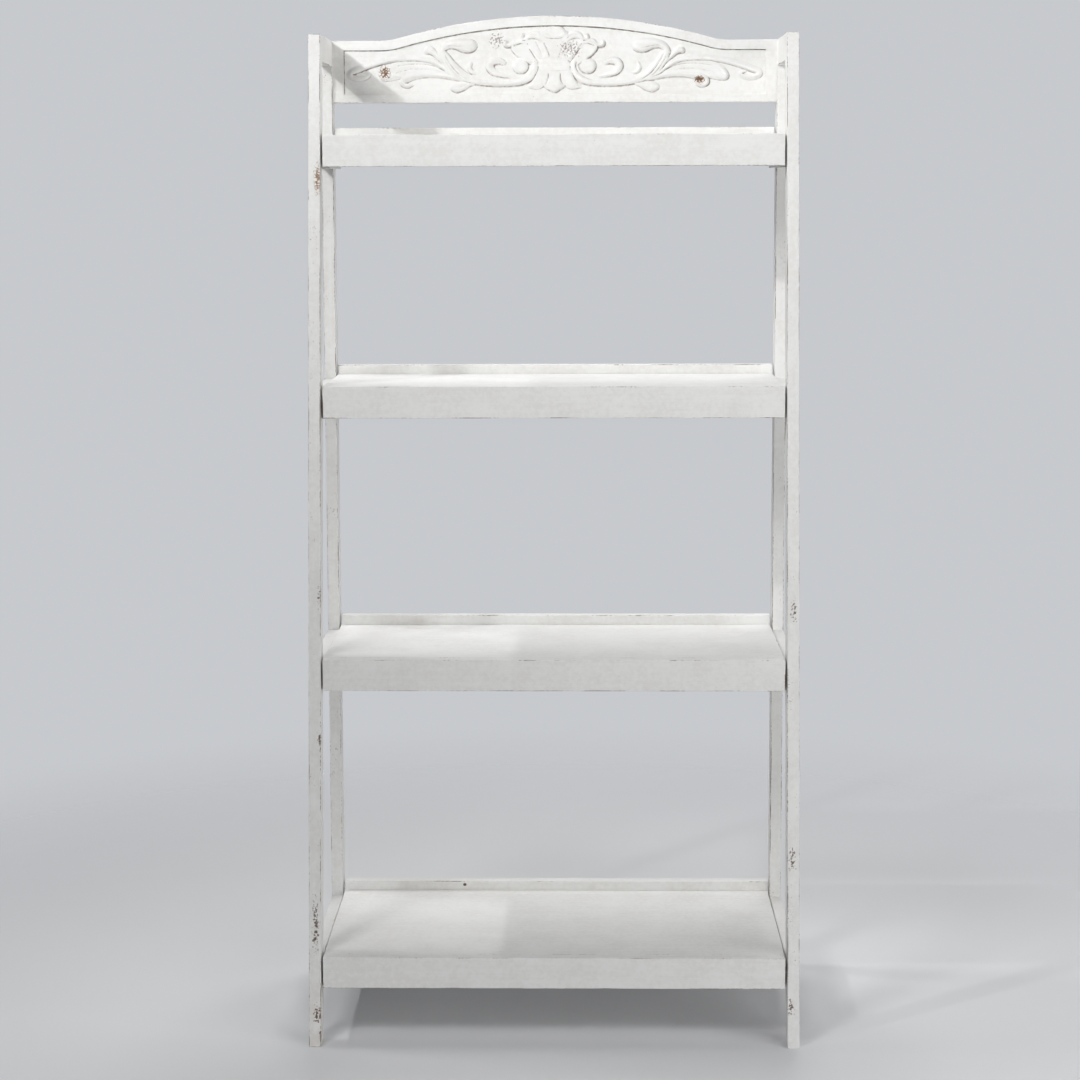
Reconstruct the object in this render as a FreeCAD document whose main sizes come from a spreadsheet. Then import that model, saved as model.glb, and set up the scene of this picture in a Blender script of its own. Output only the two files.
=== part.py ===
import FreeCAD, Part

import os

import Sketcher
from FreeCAD import Vector

# A free-standing shelf stand, in millimetres: two flat side ladders, four trays and a crown.
# +X is to the right of someone facing it, +Y runs from the front to the wall, +Z is up.
# The origin is on the floor, in the middle of the width and of the depth.

DRIVING_SIZES = {
    # The whole stand
    "overall_width": 700,
    "overall_depth": 368,
    "head_setback": 172.5,
    # Timber of the side ladders
    "frame_stock": 17,
    "stile_width": 35,
    "post_width": 35,
    "rail_height": 38,
    "arris": 1,
    # From the floor to the upper face of the bottom board, from board to board, and to the head
    "bottom_shelf_rise": 128,
    "lower_shelf_rise": 422,
    "upper_shelf_rise": 387,
    "top_shelf_rise": 357,
    "head_rise": 143,
    # Trays
    "tray_side_gap": 3,
    "board_thickness": 12,
    "apron_height": 45,
    "apron_thickness": 17,
    "lip_height": 45,
    "lip_thickness": 17,
    "lip_rise": 14,
    "lip_setback": 7,
    # Cleats under the ends of the boards
    "cleat_thickness": 11,
    "cleat_height": 35,
    "cleat_end_gap": 1,
    # Crown between the rear posts
    "crown_shoulder_height": 92,
    "crown_rise": 36,
    "crown_thickness": 17,
    "crown_setback": 6,
    "crown_shoulder_length": 73,
    "crown_shoulder_radius": 91,
    "field_depth": 3,
    "field_top_margin": 14,
    "field_foot_margin": 12,
    "field_end_margin": 17,
    "carving_height": 4.5,
    "carving_root": 0.5,
    "carving_root_step": 0.02,
    # Tenons of the side rails and of the crown
    "tenon_thickness": 7,
    "tenon_length": 16,
    "tenon_shoulder": 6,
    "crown_tenon_length": 9,
    "crown_tenon_shoulder": 12,
    # Screws that hold the trays
    "screw_diameter": 3.5,
    "screw_head_diameter": 7,
    "screw_length": 43,
    # Room in the mortises and holes, and how far a cut runs past a face
    "joint_clearance": 0.2,
    "joint_end_clearance": 0.5,
    "cut_overrun": 5,
}

doc = FreeCAD.newDocument("shelf_stand")
sizes = doc.addObject("Spreadsheet::Sheet", "sizes")
for row, (alias, size) in enumerate(DRIVING_SIZES.items(), 1):
    sizes.set(f"A{row}", alias)
    sizes.set(f"B{row}", str(size))
    sizes.setAlias(f"B{row}", alias)
doc.recompute()

# Lengths that follow from the driving sizes, as expressions
STAND_FRONT = "(-sizes.overall_depth / 2)"
POST_FRONT = "(sizes.overall_depth / 2 - sizes.post_width)"
LIP_FRONT = f"({POST_FRONT} + sizes.lip_setback)"
INNER_HALF = "(sizes.overall_width / 2 - sizes.frame_stock)"
TRAY_HALF = f"({INNER_HALF} - sizes.tray_side_gap)"
BOTTOM_SHELF = "sizes.bottom_shelf_rise"
LOWER_SHELF = f"({BOTTOM_SHELF} + sizes.lower_shelf_rise)"
UPPER_SHELF = f"({LOWER_SHELF} + sizes.upper_shelf_rise)"
TOP_SHELF = f"({UPPER_SHELF} + sizes.top_shelf_rise)"
HEAD = f"({TOP_SHELF} + sizes.head_rise)"
CROWN_FOOT = f"({HEAD} - sizes.crown_shoulder_height)"
LEAN = f"(sizes.head_setback / {HEAD})"
SCREW_HOLE = "(sizes.screw_diameter + sizes.joint_clearance)"
MORTISE_WIDTH = "(sizes.tenon_thickness + sizes.joint_clearance)"
MORTISE_DEPTH = "(sizes.tenon_length + sizes.joint_end_clearance)"
CROWN_MORTISE_DEPTH = "(sizes.crown_tenon_length + sizes.joint_end_clearance)"

SHELF_HEIGHTS = {
    "bottom": BOTTOM_SHELF,
    "lower": LOWER_SHELF,
    "upper": UPPER_SHELF,
    "top": TOP_SHELF,
}

# Foot of each side rail: those at the shelves are level with the foot of the apron
RAIL_FEET = {shelf: f"({height} - sizes.apron_height)" for shelf, height in SHELF_HEIGHTS.items()}
RAIL_FEET["head"] = f"({HEAD} - sizes.rail_height)"

SIDES = ("left", "right")

# Place of the one screw in a cleat, as a share of the cleat's length
SCREW_SHARE = 0.5

nodes = []
cuts = []


def value(expression):
    """The present length of an expression of the sheet."""
    return float(sizes.evalExpression(expression))


def keep(item, label):
    """Name a finished sub-part and list it for export."""
    item.Label = label
    nodes.append(item)


def place(item, x, y, z):
    """Bind where an object stands to the sheet."""
    item.setExpression("Placement.Base.x", x)
    item.setExpression("Placement.Base.y", y)
    item.setExpression("Placement.Base.z", z)


def bind(sketch, kind, first, expression):
    """Add a dimension to a sketch and bind it to the sheet."""
    datum = sketch.addConstraint(Sketcher.Constraint(kind, *first, value(expression)))
    sketch.setExpression(f"Constraints[{datum}]", expression)


def pin_point(sketch, curve, end, across, up):
    """Fix a point of a sketch at two distances from the sketch's origin."""
    for kind, axis, distance in (("DistanceX", -2, across), ("DistanceY", -1, up)):
        if distance == "0":
            sketch.addConstraint(Sketcher.Constraint("PointOnObject", curve, end, axis))
        else:
            bind(sketch, kind, (-1, 1, curve, end), distance)


def new_sketch(body, name, role, start="0"):
    """A sketch on one of the body's own planes, moved to where it starts along the axis it faces."""
    sketch = body.newObject("Sketcher::SketchObject", name)
    plane = next(item for item in body.Origin.OriginFeatures if item.Role == role)
    sketch.AttachmentSupport = (plane, [""])
    sketch.MapMode = "FlatFace"
    offset = f"-({start})" if role == "XZ_Plane" else start
    sketch.setExpression("AttachmentOffset.Base.z", offset)
    return sketch


def polygons(body, name, role, outlines, start="0"):
    """A sketch of closed outlines of straight lines through corners given as expressions."""
    sketch = new_sketch(body, name, role, start)
    for corners in outlines:
        first = sketch.GeometryCount
        points = [Vector(value(across), value(up)) for across, up in corners]
        for begin, end in zip(points, points[1:] + points[:1]):
            sketch.addGeometry(Part.LineSegment(begin, end))
        for line, (across, up) in enumerate(corners):
            following = first + (line + 1) % len(corners)
            sketch.addConstraint(Sketcher.Constraint("Coincident", first + line, 2, following, 1))
            pin_point(sketch, first + line, 1, across, up)
    return sketch


def rectangle(left, right, foot, head):
    """Corners of a rectangle between two distances across and two distances up."""
    return [(left, foot), (right, foot), (right, head), (left, head)]


def pad(body, sketch, thickness):
    """Give an outline its thickness, always towards the positive side of the axis it faces."""
    feature = body.newObject("PartDesign::Pad", "pad")
    feature.Profile = sketch
    feature.Reversed = sketch.AttachmentSupport[0][0].Role == "XZ_Plane"
    feature.setExpression("Length", thickness)
    doc.recompute()
    return feature


def long_edge(edge, shape):
    """True for the edges along a timber."""
    return edge.Length > max(other.Length for other in shape.Edges) / 2


def soften(body, feature, wanted=long_edge):
    """Take the sharp arris off the edges that are wanted."""
    shape = feature.Shape
    names = [f"Edge{index}" for index, edge in enumerate(shape.Edges, 1) if wanted(edge, shape)]
    chamfer = body.newObject("PartDesign::Chamfer", "arris")
    chamfer.Base = (feature, names)
    chamfer.setExpression("Size", "sizes.arris")
    doc.recompute()


def plank(label, role, corners, thickness, corner_place):
    """A timber: an outline on one of its planes, padded to its thickness and put in its place."""
    body = doc.addObject("PartDesign::Body", label)
    place(body, *corner_place)
    feature = pad(body, polygons(body, "outline", role, [corners]), thickness)
    keep(body, label)
    return body, feature


def pocket(body, sketch, depth=None, forward=True):
    """Cut an outline to a depth, or right through, forward or backward along the axis it faces."""
    base = body.Tip
    feature = body.newObject("PartDesign::Pocket", "pocket")
    feature.Profile = sketch
    feature.Reversed = forward != (sketch.AttachmentSupport[0][0].Role == "XZ_Plane")
    if depth is None:
        feature.Type = "ThroughAll"
    else:
        feature.setExpression("Length", depth)
    doc.recompute()
    cuts.append((base, feature))


def widened(low, high):
    """A tenon's span with the joint's clearance added, for its mortise."""
    return f"({low} - sizes.joint_clearance / 2)", f"({high} + sizes.joint_clearance / 2)"


def circles(body, role, start, centres, diameter):
    """A sketch of equal circles for drilling."""
    sketch = new_sketch(body, "centres", role, start)
    for index, (across, up) in enumerate(centres):
        middle = Vector(value(across), value(up))
        sketch.addGeometry(Part.Circle(middle, Vector(0, 0, 1), value(diameter) / 2))
        pin_point(sketch, index, 3, across, up)
        bind(sketch, "Diameter", (index,), diameter)
    return sketch


def countersink(body, centres):
    """Clearance holes for countersunk screws, driven upwards from the under side."""
    sketch = circles(body, "XY_Plane", "0", centres, SCREW_HOLE)
    base = body.Tip
    doc.recompute()
    hole = body.newObject("PartDesign::Hole", "countersink")
    hole.Profile = sketch
    doc.recompute()
    hole.Threaded = False
    hole.DepthType = "ThroughAll"
    hole.DrillPoint = "Flat"
    hole.HoleCutType = "Countersink"
    hole.HoleCutCountersinkAngle = 90
    hole.Reversed = True
    hole.setExpression("Diameter", SCREW_HOLE)
    hole.setExpression("HoleCutDiameter", "sizes.screw_head_diameter + sizes.joint_clearance")
    doc.recompute()
    cuts.append((base, hole))


def screw(name, x, y, z):
    """A countersunk screw without its thread, driven upwards from its head."""
    shank = doc.addObject("Part::Cylinder", name + "_shank")
    shank.setExpression("Radius", "sizes.screw_diameter / 2")
    shank.setExpression("Height", "sizes.screw_length")
    head = doc.addObject("Part::Cone", name + "_head")
    head.setExpression("Radius1", "sizes.screw_head_diameter / 2")
    head.setExpression("Radius2", "sizes.screw_diameter / 2")
    head.setExpression("Height", "(sizes.screw_head_diameter - sizes.screw_diameter) / 2")
    whole = doc.addObject("Part::Fuse", name)
    whole.Base = shank
    whole.Tool = head
    place(whole, x, y, z)
    return whole


def group(label, items):
    """Equal fasteners that share one node, each a solid of its own."""
    compound = doc.addObject("Part::Compound", label)
    compound.Links = items
    keep(compound, label)


def stile_front(height):
    """Front face of the leaning stile at a height."""
    return f"({STAND_FRONT} + {LEAN} * {height})"


def stile_back(height):
    """Rear face of the leaning stile at a height."""
    return f"({stile_front(height)} + sizes.stile_width)"


def ladder_x(side):
    """Lower X of the timbers of one side ladder."""
    return "-sizes.overall_width / 2" if side == "left" else INNER_HALF


# The tenons of the side rails lie in the middle of the stock
TENON_SIDE = "((sizes.frame_stock - sizes.tenon_thickness) / 2)"
MORTISE_SIDE = f"((sizes.frame_stock - {MORTISE_WIDTH}) / 2)"
TENON_FOOT = "sizes.tenon_shoulder"
TENON_HEAD = "(sizes.rail_height - sizes.tenon_shoulder)"

# The crown's tenons end below the head rail, whose own tenon enters the same post
CROWN_FRONT = f"({POST_FRONT} + sizes.crown_setback)"
CROWN_TENON_FOOT = "sizes.crown_tenon_shoulder"
CROWN_TENON_HEAD = "(sizes.crown_shoulder_height - sizes.rail_height)"


def front_stile(side):
    """The leaning front stile, cut level at the floor and at its head, mortised for the rails."""
    corners = [
        ("0", "0"),
        ("sizes.stile_width", "0"),
        ("(sizes.head_setback + sizes.stile_width)", HEAD),
        ("sizes.head_setback", HEAD),
    ]
    body, feature = plank(
        f"{side}_front_stile", "YZ_Plane", corners, "sizes.frame_stock",
        (ladder_x(side), STAND_FRONT, "0"),
    )
    soften(body, feature)
    mortises = []
    for foot in RAIL_FEET.values():
        low, high = widened(f"({foot} + {TENON_FOOT})", f"({foot} + {TENON_HEAD})")
        back_low, back_high = f"(sizes.stile_width + {LEAN} * {low})", f"(sizes.stile_width + {LEAN} * {high})"
        mortises.append([
            (f"({back_low} - {MORTISE_DEPTH})", low),
            (f"({back_low} + sizes.cut_overrun)", low),
            (f"({back_high} + sizes.cut_overrun)", high),
            (f"({back_high} - {MORTISE_DEPTH})", high),
        ])
    pocket(body, polygons(body, "mortises", "YZ_Plane", mortises, MORTISE_SIDE), MORTISE_WIDTH)


def rear_post(side):
    """The upright rear post, mortised for the side rails and for the crown."""
    corners = rectangle("0", "sizes.post_width", "0", HEAD)
    body, feature = plank(
        f"{side}_rear_post", "YZ_Plane", corners, "sizes.frame_stock", (ladder_x(side), POST_FRONT, "0"),
    )
    soften(body, feature)
    mortises = [
        rectangle(
            "-sizes.cut_overrun", MORTISE_DEPTH,
            *widened(f"({foot} + {TENON_FOOT})", f"({foot} + {TENON_HEAD})"),
        )
        for foot in RAIL_FEET.values()
    ]
    pocket(body, polygons(body, "mortises", "YZ_Plane", mortises, MORTISE_SIDE), MORTISE_WIDTH)
    middle = f"({CROWN_FRONT} + sizes.crown_thickness / 2 - {POST_FRONT})"
    outline = rectangle(
        f"({middle} - {MORTISE_WIDTH} / 2)", f"({middle} + {MORTISE_WIDTH} / 2)",
        *widened(
            f"({CROWN_FOOT} + {CROWN_TENON_FOOT})",
            f"({CROWN_FOOT} + {CROWN_TENON_HEAD})",
        ),
    )
    bottom = f"(sizes.frame_stock - {CROWN_MORTISE_DEPTH})" if side == "left" else CROWN_MORTISE_DEPTH
    pocket(body, polygons(body, "crown_mortise", "YZ_Plane", [outline], bottom), forward=side == "left")


def side_rail(side, rail):
    """A level rail with a tenon at each end and its front shoulder slanted like the stile's back."""
    foot = RAIL_FEET[rail]
    shoulder = stile_back(foot)
    front = "sizes.tenon_length"
    rear = f"({POST_FRONT} - {shoulder} + {front})"
    corners = [
        (front, "0"),
        (rear, "0"),
        (rear, "sizes.rail_height"),
        (f"({front} + {LEAN} * sizes.rail_height)", "sizes.rail_height"),
    ]
    body, feature = plank(
        f"{side}_{rail}_rail", "YZ_Plane", corners, "sizes.frame_stock",
        (ladder_x(side), f"({shoulder} - {front})", foot),
    )
    soften(body, feature)
    tip = f"({rear} + sizes.tenon_length)"
    tenons = [
        (f"({LEAN} * {TENON_FOOT})", TENON_FOOT),
        (tip, TENON_FOOT),
        (tip, TENON_HEAD),
        (f"({LEAN} * {TENON_HEAD})", TENON_HEAD),
    ]
    pad(body, polygons(body, "tenons", "YZ_Plane", [tenons], TENON_SIDE), "sizes.tenon_thickness")


def apron_front(shelf):
    """Front face of an apron, flush with the stile at half the apron's height."""
    return stile_front(f"({SHELF_HEIGHTS[shelf]} - sizes.apron_height / 2)")


def board_front(shelf):
    """Front edge of a board, against the back of its apron."""
    return f"({apron_front(shelf)} + sizes.apron_thickness)"


def board_foot(shelf):
    """Under side of a board."""
    return f"({SHELF_HEIGHTS[shelf]} - sizes.board_thickness)"


def cleat_start(shelf):
    """Front end of a cleat, just behind the apron."""
    return f"({board_front(shelf)} + sizes.cleat_end_gap)"


def cleat_length(shelf):
    """Length of a cleat, from just behind the apron to just before the lip."""
    return f"({LIP_FRONT} - sizes.cleat_end_gap - {cleat_start(shelf)})"


def screw_place(shelf):
    """Y of the screw in a cleat."""
    return f"({cleat_start(shelf)} + {SCREW_SHARE} * {cleat_length(shelf)})"


def cleat_x(side):
    """Lower X of the cleats of one side."""
    return f"(-{INNER_HALF})" if side == "left" else f"({INNER_HALF} - sizes.cleat_thickness)"


def cleat(side, shelf):
    """A cleat on the inner face of a side ladder, which carries one end of a tray."""
    length = cleat_length(shelf)
    body, feature = plank(
        f"{shelf}_{side}_cleat", "YZ_Plane", rectangle("0", length, "0", "sizes.cleat_height"),
        "sizes.cleat_thickness",
        (cleat_x(side), cleat_start(shelf), f"({board_foot(shelf)} - sizes.cleat_height)"),
    )
    soften(body, feature)
    countersink(body, [("sizes.cleat_thickness / 2", f"({SCREW_SHARE} * {length})")])


def board(shelf):
    """The board of a tray, with a blind hole over each cleat for its screw."""
    depth = f"({LIP_FRONT} - {board_front(shelf)})"
    body, _ = plank(
        f"{shelf}_board", "XY_Plane", rectangle("0", f"(2 * {TRAY_HALF})", "0", depth),
        "sizes.board_thickness",
        (f"(-{TRAY_HALF})", board_front(shelf), board_foot(shelf)),
    )
    inset = "(sizes.cleat_thickness / 2 - sizes.tray_side_gap)"
    back = f"({screw_place(shelf)} - {board_front(shelf)})"
    centres = [(inset, back), (f"(2 * {TRAY_HALF} - {inset})", back)]
    bottom = "(sizes.screw_length - sizes.cleat_height + sizes.joint_end_clearance)"
    pocket(body, circles(body, "XY_Plane", bottom, centres, SCREW_HOLE), forward=False)


def tray_side(label, height, thickness, y, z, wanted):
    """A long piece along the front or the rear edge of a board."""
    body, feature = plank(
        label, "XZ_Plane", rectangle("0", f"(2 * {TRAY_HALF})", "0", height), thickness,
        (f"(-{TRAY_HALF})", y, z),
    )
    soften(body, feature, wanted)


def front_edge(edge, shape):
    """True for the long edges of the front face."""
    return long_edge(edge, shape) and edge.CenterOfMass.y < shape.BoundBox.Center.y


def upper_edge(edge, shape):
    """True for the long edges of the upper face."""
    return long_edge(edge, shape) and edge.CenterOfMass.z > shape.BoundBox.Center.z


def apron(shelf):
    """The deep front apron of a tray, level with the upper face of the board."""
    foot = f"({SHELF_HEIGHTS[shelf]} - sizes.apron_height)"
    tray_side(
        f"{shelf}_apron", "sizes.apron_height", "sizes.apron_thickness", apron_front(shelf), foot, front_edge
    )


def lip(shelf):
    """The rear lip of a tray, which stands above the board so that nothing slides off."""
    foot = f"({SHELF_HEIGHTS[shelf]} + sizes.lip_rise - sizes.lip_height)"
    tray_side(f"{shelf}_lip", "sizes.lip_height", "sizes.lip_thickness", LIP_FRONT, foot, upper_edge)


CROWN_ARCH_HALF = f"({INNER_HALF} - sizes.crown_shoulder_length)"
# A large crest arc meets a small shoulder arc on each side, and each of those meets a level shoulder
CROWN_RADII = f"(({CROWN_ARCH_HALF} ^ 2 + sizes.crown_rise ^ 2) / (2 * sizes.crown_rise))"


def arched_outline(body, name, end_margin, foot_margin, top_margin):
    """The crown's outline: level shoulders and a crest, drawn in by a margin at each side."""
    sketch = new_sketch(body, name, "XZ_Plane")
    middle = f"(sizes.crown_tenon_length + {INNER_HALF})"
    left, right = (f"({middle} {sign} ({INNER_HALF} - {end_margin}))" for sign in "-+")
    shoulder = f"(sizes.crown_shoulder_height - {top_margin})"
    hollow = f"(sizes.crown_shoulder_radius + {top_margin})"
    crest = f"({CROWN_RADII} - {hollow})"
    crest_middle = f"({shoulder} + sizes.crown_rise - {crest})"
    meeting = f"({CROWN_ARCH_HALF} * {crest} / {CROWN_RADII})"
    meeting_height = f"({shoulder} + {hollow} - {hollow} / {CROWN_RADII} * ({CROWN_RADII} - sizes.crown_rise))"
    corners = [
        (left, foot_margin),
        (right, foot_margin),
        (right, shoulder),
        (f"({middle} + {CROWN_ARCH_HALF})", shoulder),
        (f"({middle} + {meeting})", meeting_height),
        (f"({middle} - {meeting})", meeting_height),
        (f"({middle} - {CROWN_ARCH_HALF})", shoulder),
        (left, shoulder),
    ]
    points = [Vector(value(across), value(up)) for across, up in corners]
    middles = {
        3: Vector(value(middle) + value(CROWN_ARCH_HALF), value(shoulder) + value(hollow)),
        4: Vector(value(middle), value(crest_middle)),
        5: Vector(value(middle) - value(CROWN_ARCH_HALF), value(shoulder) + value(hollow)),
    }
    for index, start in enumerate(points):
        end = points[(index + 1) % len(points)]
        if index in middles:
            sketch.addGeometry(arc_between(middles[index], start, end, hollow_side=index != 4))
        else:
            sketch.addGeometry(Part.LineSegment(start, end))
    # An arc drawn clockwise keeps its start where the outline leaves it, so its ends change places
    first_end = {3: 2, 5: 2}
    for index, (across, up) in enumerate(corners):
        following = (index + 1) % len(corners)
        last = 3 - first_end.get(index, 1)
        sketch.addConstraint(
            Sketcher.Constraint("Coincident", index, last, following, first_end.get(following, 1))
        )
        pin_point(sketch, index, first_end.get(index, 1), across, up)
    bind(sketch, "Radius", (3,), hollow)
    bind(sketch, "Radius", (4,), crest)
    bind(sketch, "Radius", (5,), hollow)
    return sketch


def arc_between(middle, start, end, hollow_side):
    """An arc about a middle: the crest runs from start to end, a hollow shoulder from end to start."""
    circle = Part.Circle(middle, Vector(0, 0, 1), (start - middle).Length)
    first, last = (end, start) if hollow_side else (start, end)
    return Part.ArcOfCircle(circle, circle.parameter(first), circle.parameter(last))


def flat_edge(edge, shape):
    """True for the edges of the front and rear faces of the crown."""
    return edge.BoundBox.YLength < value("sizes.joint_clearance")


# Strokes of the carving on the right half of the crown, which the left half mirrors. Each point of a stroke's
# middle line has four shares: across, of the crown's half length; up and half breadth, of the crown's height;
# and how far it stands out of the field, of the carving's height
STROKE_SHARES = {
    "scroll": [
        (0.089, 0.430, 0.035, 0.71), (0.093, 0.367, 0.041, 0.80), (0.108, 0.309, 0.041, 0.80),
        (0.134, 0.262, 0.035, 0.78), (0.171, 0.234, 0.030, 0.73), (0.232, 0.222, 0.026, 0.71),
        (0.306, 0.231, 0.027, 0.73), (0.369, 0.262, 0.033, 0.78), (0.415, 0.316, 0.048, 0.87),
        (0.457, 0.402, 0.057, 0.93), (0.488, 0.501, 0.053, 0.93), (0.504, 0.579, 0.033, 0.84),
        (0.501, 0.636, 0.022, 0.71),
    ],
    "scroll_eye": [
        (0.125, 0.422, 0.030, 0.60), (0.138, 0.422, 0.065, 0.90), (0.152, 0.422, 0.075, 0.96),
        (0.166, 0.422, 0.065, 0.90), (0.179, 0.422, 0.030, 0.60),
    ],
    "second_curl": [
        (0.200, 0.305, 0.005, 0.27), (0.243, 0.325, 0.016, 0.58), (0.276, 0.361, 0.029, 0.76),
        (0.290, 0.420, 0.037, 0.89), (0.278, 0.471, 0.033, 0.89), (0.251, 0.481, 0.027, 0.80),
        (0.229, 0.460, 0.016, 0.58),
    ],
    "sprig": [
        (0.352, 0.345, 0.005, 0.27), (0.373, 0.364, 0.015, 0.53), (0.382, 0.409, 0.016, 0.62),
        (0.375, 0.460, 0.009, 0.40),
    ],
    "leaf_head": [
        (0.362, 0.662, 0.029, 0.71), (0.377, 0.656, 0.062, 0.96), (0.402, 0.658, 0.069, 1.00),
        (0.439, 0.678, 0.051, 0.93), (0.474, 0.671, 0.038, 0.89), (0.499, 0.633, 0.029, 0.84),
        (0.511, 0.575, 0.024, 0.80),
    ],
    "bud": [
        (0.446, 0.339, 0.005, 0.22), (0.520, 0.517, 0.015, 0.53), (0.548, 0.580, 0.030, 0.70),
        (0.566, 0.612, 0.034, 0.72), (0.574, 0.625, 0.015, 0.60),
    ],
    "leaf_blade": [
        (0.418, 0.265, 0.007, 0.22), (0.467, 0.334, 0.033, 0.31), (0.523, 0.391, 0.066, 0.40),
        (0.579, 0.420, 0.088, 0.44), (0.643, 0.417, 0.095, 0.44), (0.699, 0.381, 0.091, 0.44),
        (0.737, 0.345, 0.077, 0.44), (0.762, 0.308, 0.048, 0.42),
    ],
    "leaf_rib": [
        (0.425, 0.276, 0.005, 0.27), (0.464, 0.339, 0.013, 0.49), (0.502, 0.417, 0.018, 0.62),
        (0.537, 0.471, 0.022, 0.71), (0.579, 0.505, 0.022, 0.76), (0.636, 0.517, 0.022, 0.78),
        (0.706, 0.510, 0.024, 0.78), (0.776, 0.481, 0.027, 0.80), (0.839, 0.435, 0.031, 0.84),
        (0.881, 0.395, 0.031, 0.87), (0.914, 0.359, 0.027, 0.87), (0.921, 0.319, 0.024, 0.82),
        (0.901, 0.290, 0.022, 0.76), (0.871, 0.283, 0.020, 0.69), (0.843, 0.303, 0.016, 0.60),
    ],
    "lower_rib": [
        (0.411, 0.254, 0.005, 0.31), (0.453, 0.283, 0.013, 0.53), (0.495, 0.305, 0.016, 0.62),
        (0.544, 0.319, 0.018, 0.67), (0.593, 0.319, 0.022, 0.76), (0.636, 0.305, 0.031, 0.84),
        (0.671, 0.272, 0.035, 0.89), (0.681, 0.229, 0.027, 0.80), (0.662, 0.200, 0.018, 0.62),
        (0.641, 0.205, 0.009, 0.40),
    ],
    "leaf_tooth": [
        (0.692, 0.308, 0.015, 0.49), (0.730, 0.312, 0.026, 0.62), (0.765, 0.300, 0.022, 0.66),
    ],
    "leaf_tip": [
        (0.762, 0.285, 0.015, 0.60), (0.772, 0.325, 0.020, 0.66), (0.760, 0.375, 0.012, 0.55),
        (0.727, 0.435, 0.005, 0.27),
    ],
    "small_leaf": [
        (0.355, 0.222, 0.005, 0.22), (0.386, 0.215, 0.022, 0.49), (0.415, 0.193, 0.044, 0.71),
        (0.439, 0.179, 0.049, 0.84), (0.462, 0.179, 0.025, 0.70),
    ],
    "second_petal": [
        (0.033, 0.500, 0.055, 0.44), (0.051, 0.578, 0.074, 0.58), (0.072, 0.656, 0.094, 0.71),
        (0.090, 0.711, 0.102, 0.80),
    ],
    "third_petal": [
        (0.075, 0.469, 0.047, 0.40), (0.105, 0.531, 0.070, 0.53), (0.138, 0.602, 0.086, 0.62),
        (0.159, 0.648, 0.082, 0.71),
    ],
    "second_lip": [
        (0.045, 0.656, 0.008, 0.67), (0.051, 0.703, 0.012, 0.80), (0.069, 0.741, 0.014, 0.91),
        (0.096, 0.762, 0.016, 0.96), (0.117, 0.752, 0.015, 0.93), (0.134, 0.734, 0.016, 0.93),
        (0.147, 0.746, 0.019, 0.93),
    ],
    "third_lip": [
        (0.120, 0.694, 0.009, 0.71), (0.156, 0.700, 0.015, 0.91), (0.197, 0.664, 0.017, 0.93),
        (0.216, 0.669, 0.020, 0.91),
    ],
    "side_lobe": [
        (0.045, 0.359, 0.062, 0.62), (0.057, 0.297, 0.074, 0.76), (0.072, 0.234, 0.062, 0.80),
        (0.093, 0.199, 0.031, 0.67), (0.116, 0.186, 0.008, 0.36),
    ],
}

# Strokes on the crown's middle, as above
MIDDLE_SHARES = {
    "shell_body": [
        (0, 0.547, 0.117, 0.49), (0, 0.469, 0.156, 0.76), (0, 0.406, 0.180, 0.89), (0, 0.344, 0.172, 0.84),
        (0, 0.297, 0.156, 0.71),
    ],
    "middle_petal": [
        (0, 0.531, 0.070, 0.53), (0, 0.594, 0.094, 0.64), (0, 0.672, 0.125, 0.76), (0, 0.734, 0.145, 0.84),
    ],
    "middle_lip": [
        (-0.055, 0.785, 0.014, 0.90), (-0.038, 0.773, 0.016, 0.96), (-0.021, 0.761, 0.013, 0.91),
        (0, 0.758, 0.013, 0.89), (0.021, 0.761, 0.013, 0.91), (0.038, 0.773, 0.016, 0.96),
        (0.055, 0.785, 0.014, 0.90),
    ],
    "middle_lobe": [
        (0, 0.344, 0.062, 0.67), (0, 0.297, 0.070, 0.84), (0, 0.242, 0.090, 0.93), (0, 0.211, 0.082, 0.89),
    ],
}

# How much of a stroke's breadth its face keeps
FACE_SHARE = 0.6


def stroke(name, shares, root):
    """One stroke of the carving: sloping sides, a narrower face and a root sunk into the field."""
    half_length, proud_height = value(INNER_HALF), value("sizes.carving_height")
    height = value("sizes.crown_shoulder_height + sizes.crown_rise")
    middles = [Vector(across * half_length, 0, up * height) for across, up, _, _ in shares]
    rings = []
    for index, (_, _, breadth, proud) in enumerate(shares):
        run = middles[min(index + 1, len(middles) - 1)] - middles[max(index - 1, 0)]
        side = Vector(-run.z, 0, run.x).normalize() * breadth * height
        sunk, raised = middles[index] + Vector(0, root, 0), middles[index] - Vector(0, proud * proud_height, 0)
        rings.append([sunk + side, raised + side * FACE_SHARE, raised - side * FACE_SHARE, sunk - side])
    outlines = [rings[0][::-1], rings[-1]]
    for ring, following in zip(rings, rings[1:]):
        for corner in range(len(ring)):
            last = (corner + 1) % len(ring)
            outlines.append([ring[corner], ring[last], following[last]])
            outlines.append([ring[corner], following[last], following[corner]])
    faces = [Part.Face(Part.makePolygon(outline + outline[:1])) for outline in outlines]
    solid = Part.makeSolid(Part.makeShell(faces))
    if solid.Volume < 0:
        solid.reverse()
    item = doc.addObject("Part::Feature", name)
    item.Shape = solid
    place(item, "0", f"({CROWN_FRONT} + sizes.field_depth)", CROWN_FOOT)
    return item


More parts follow.
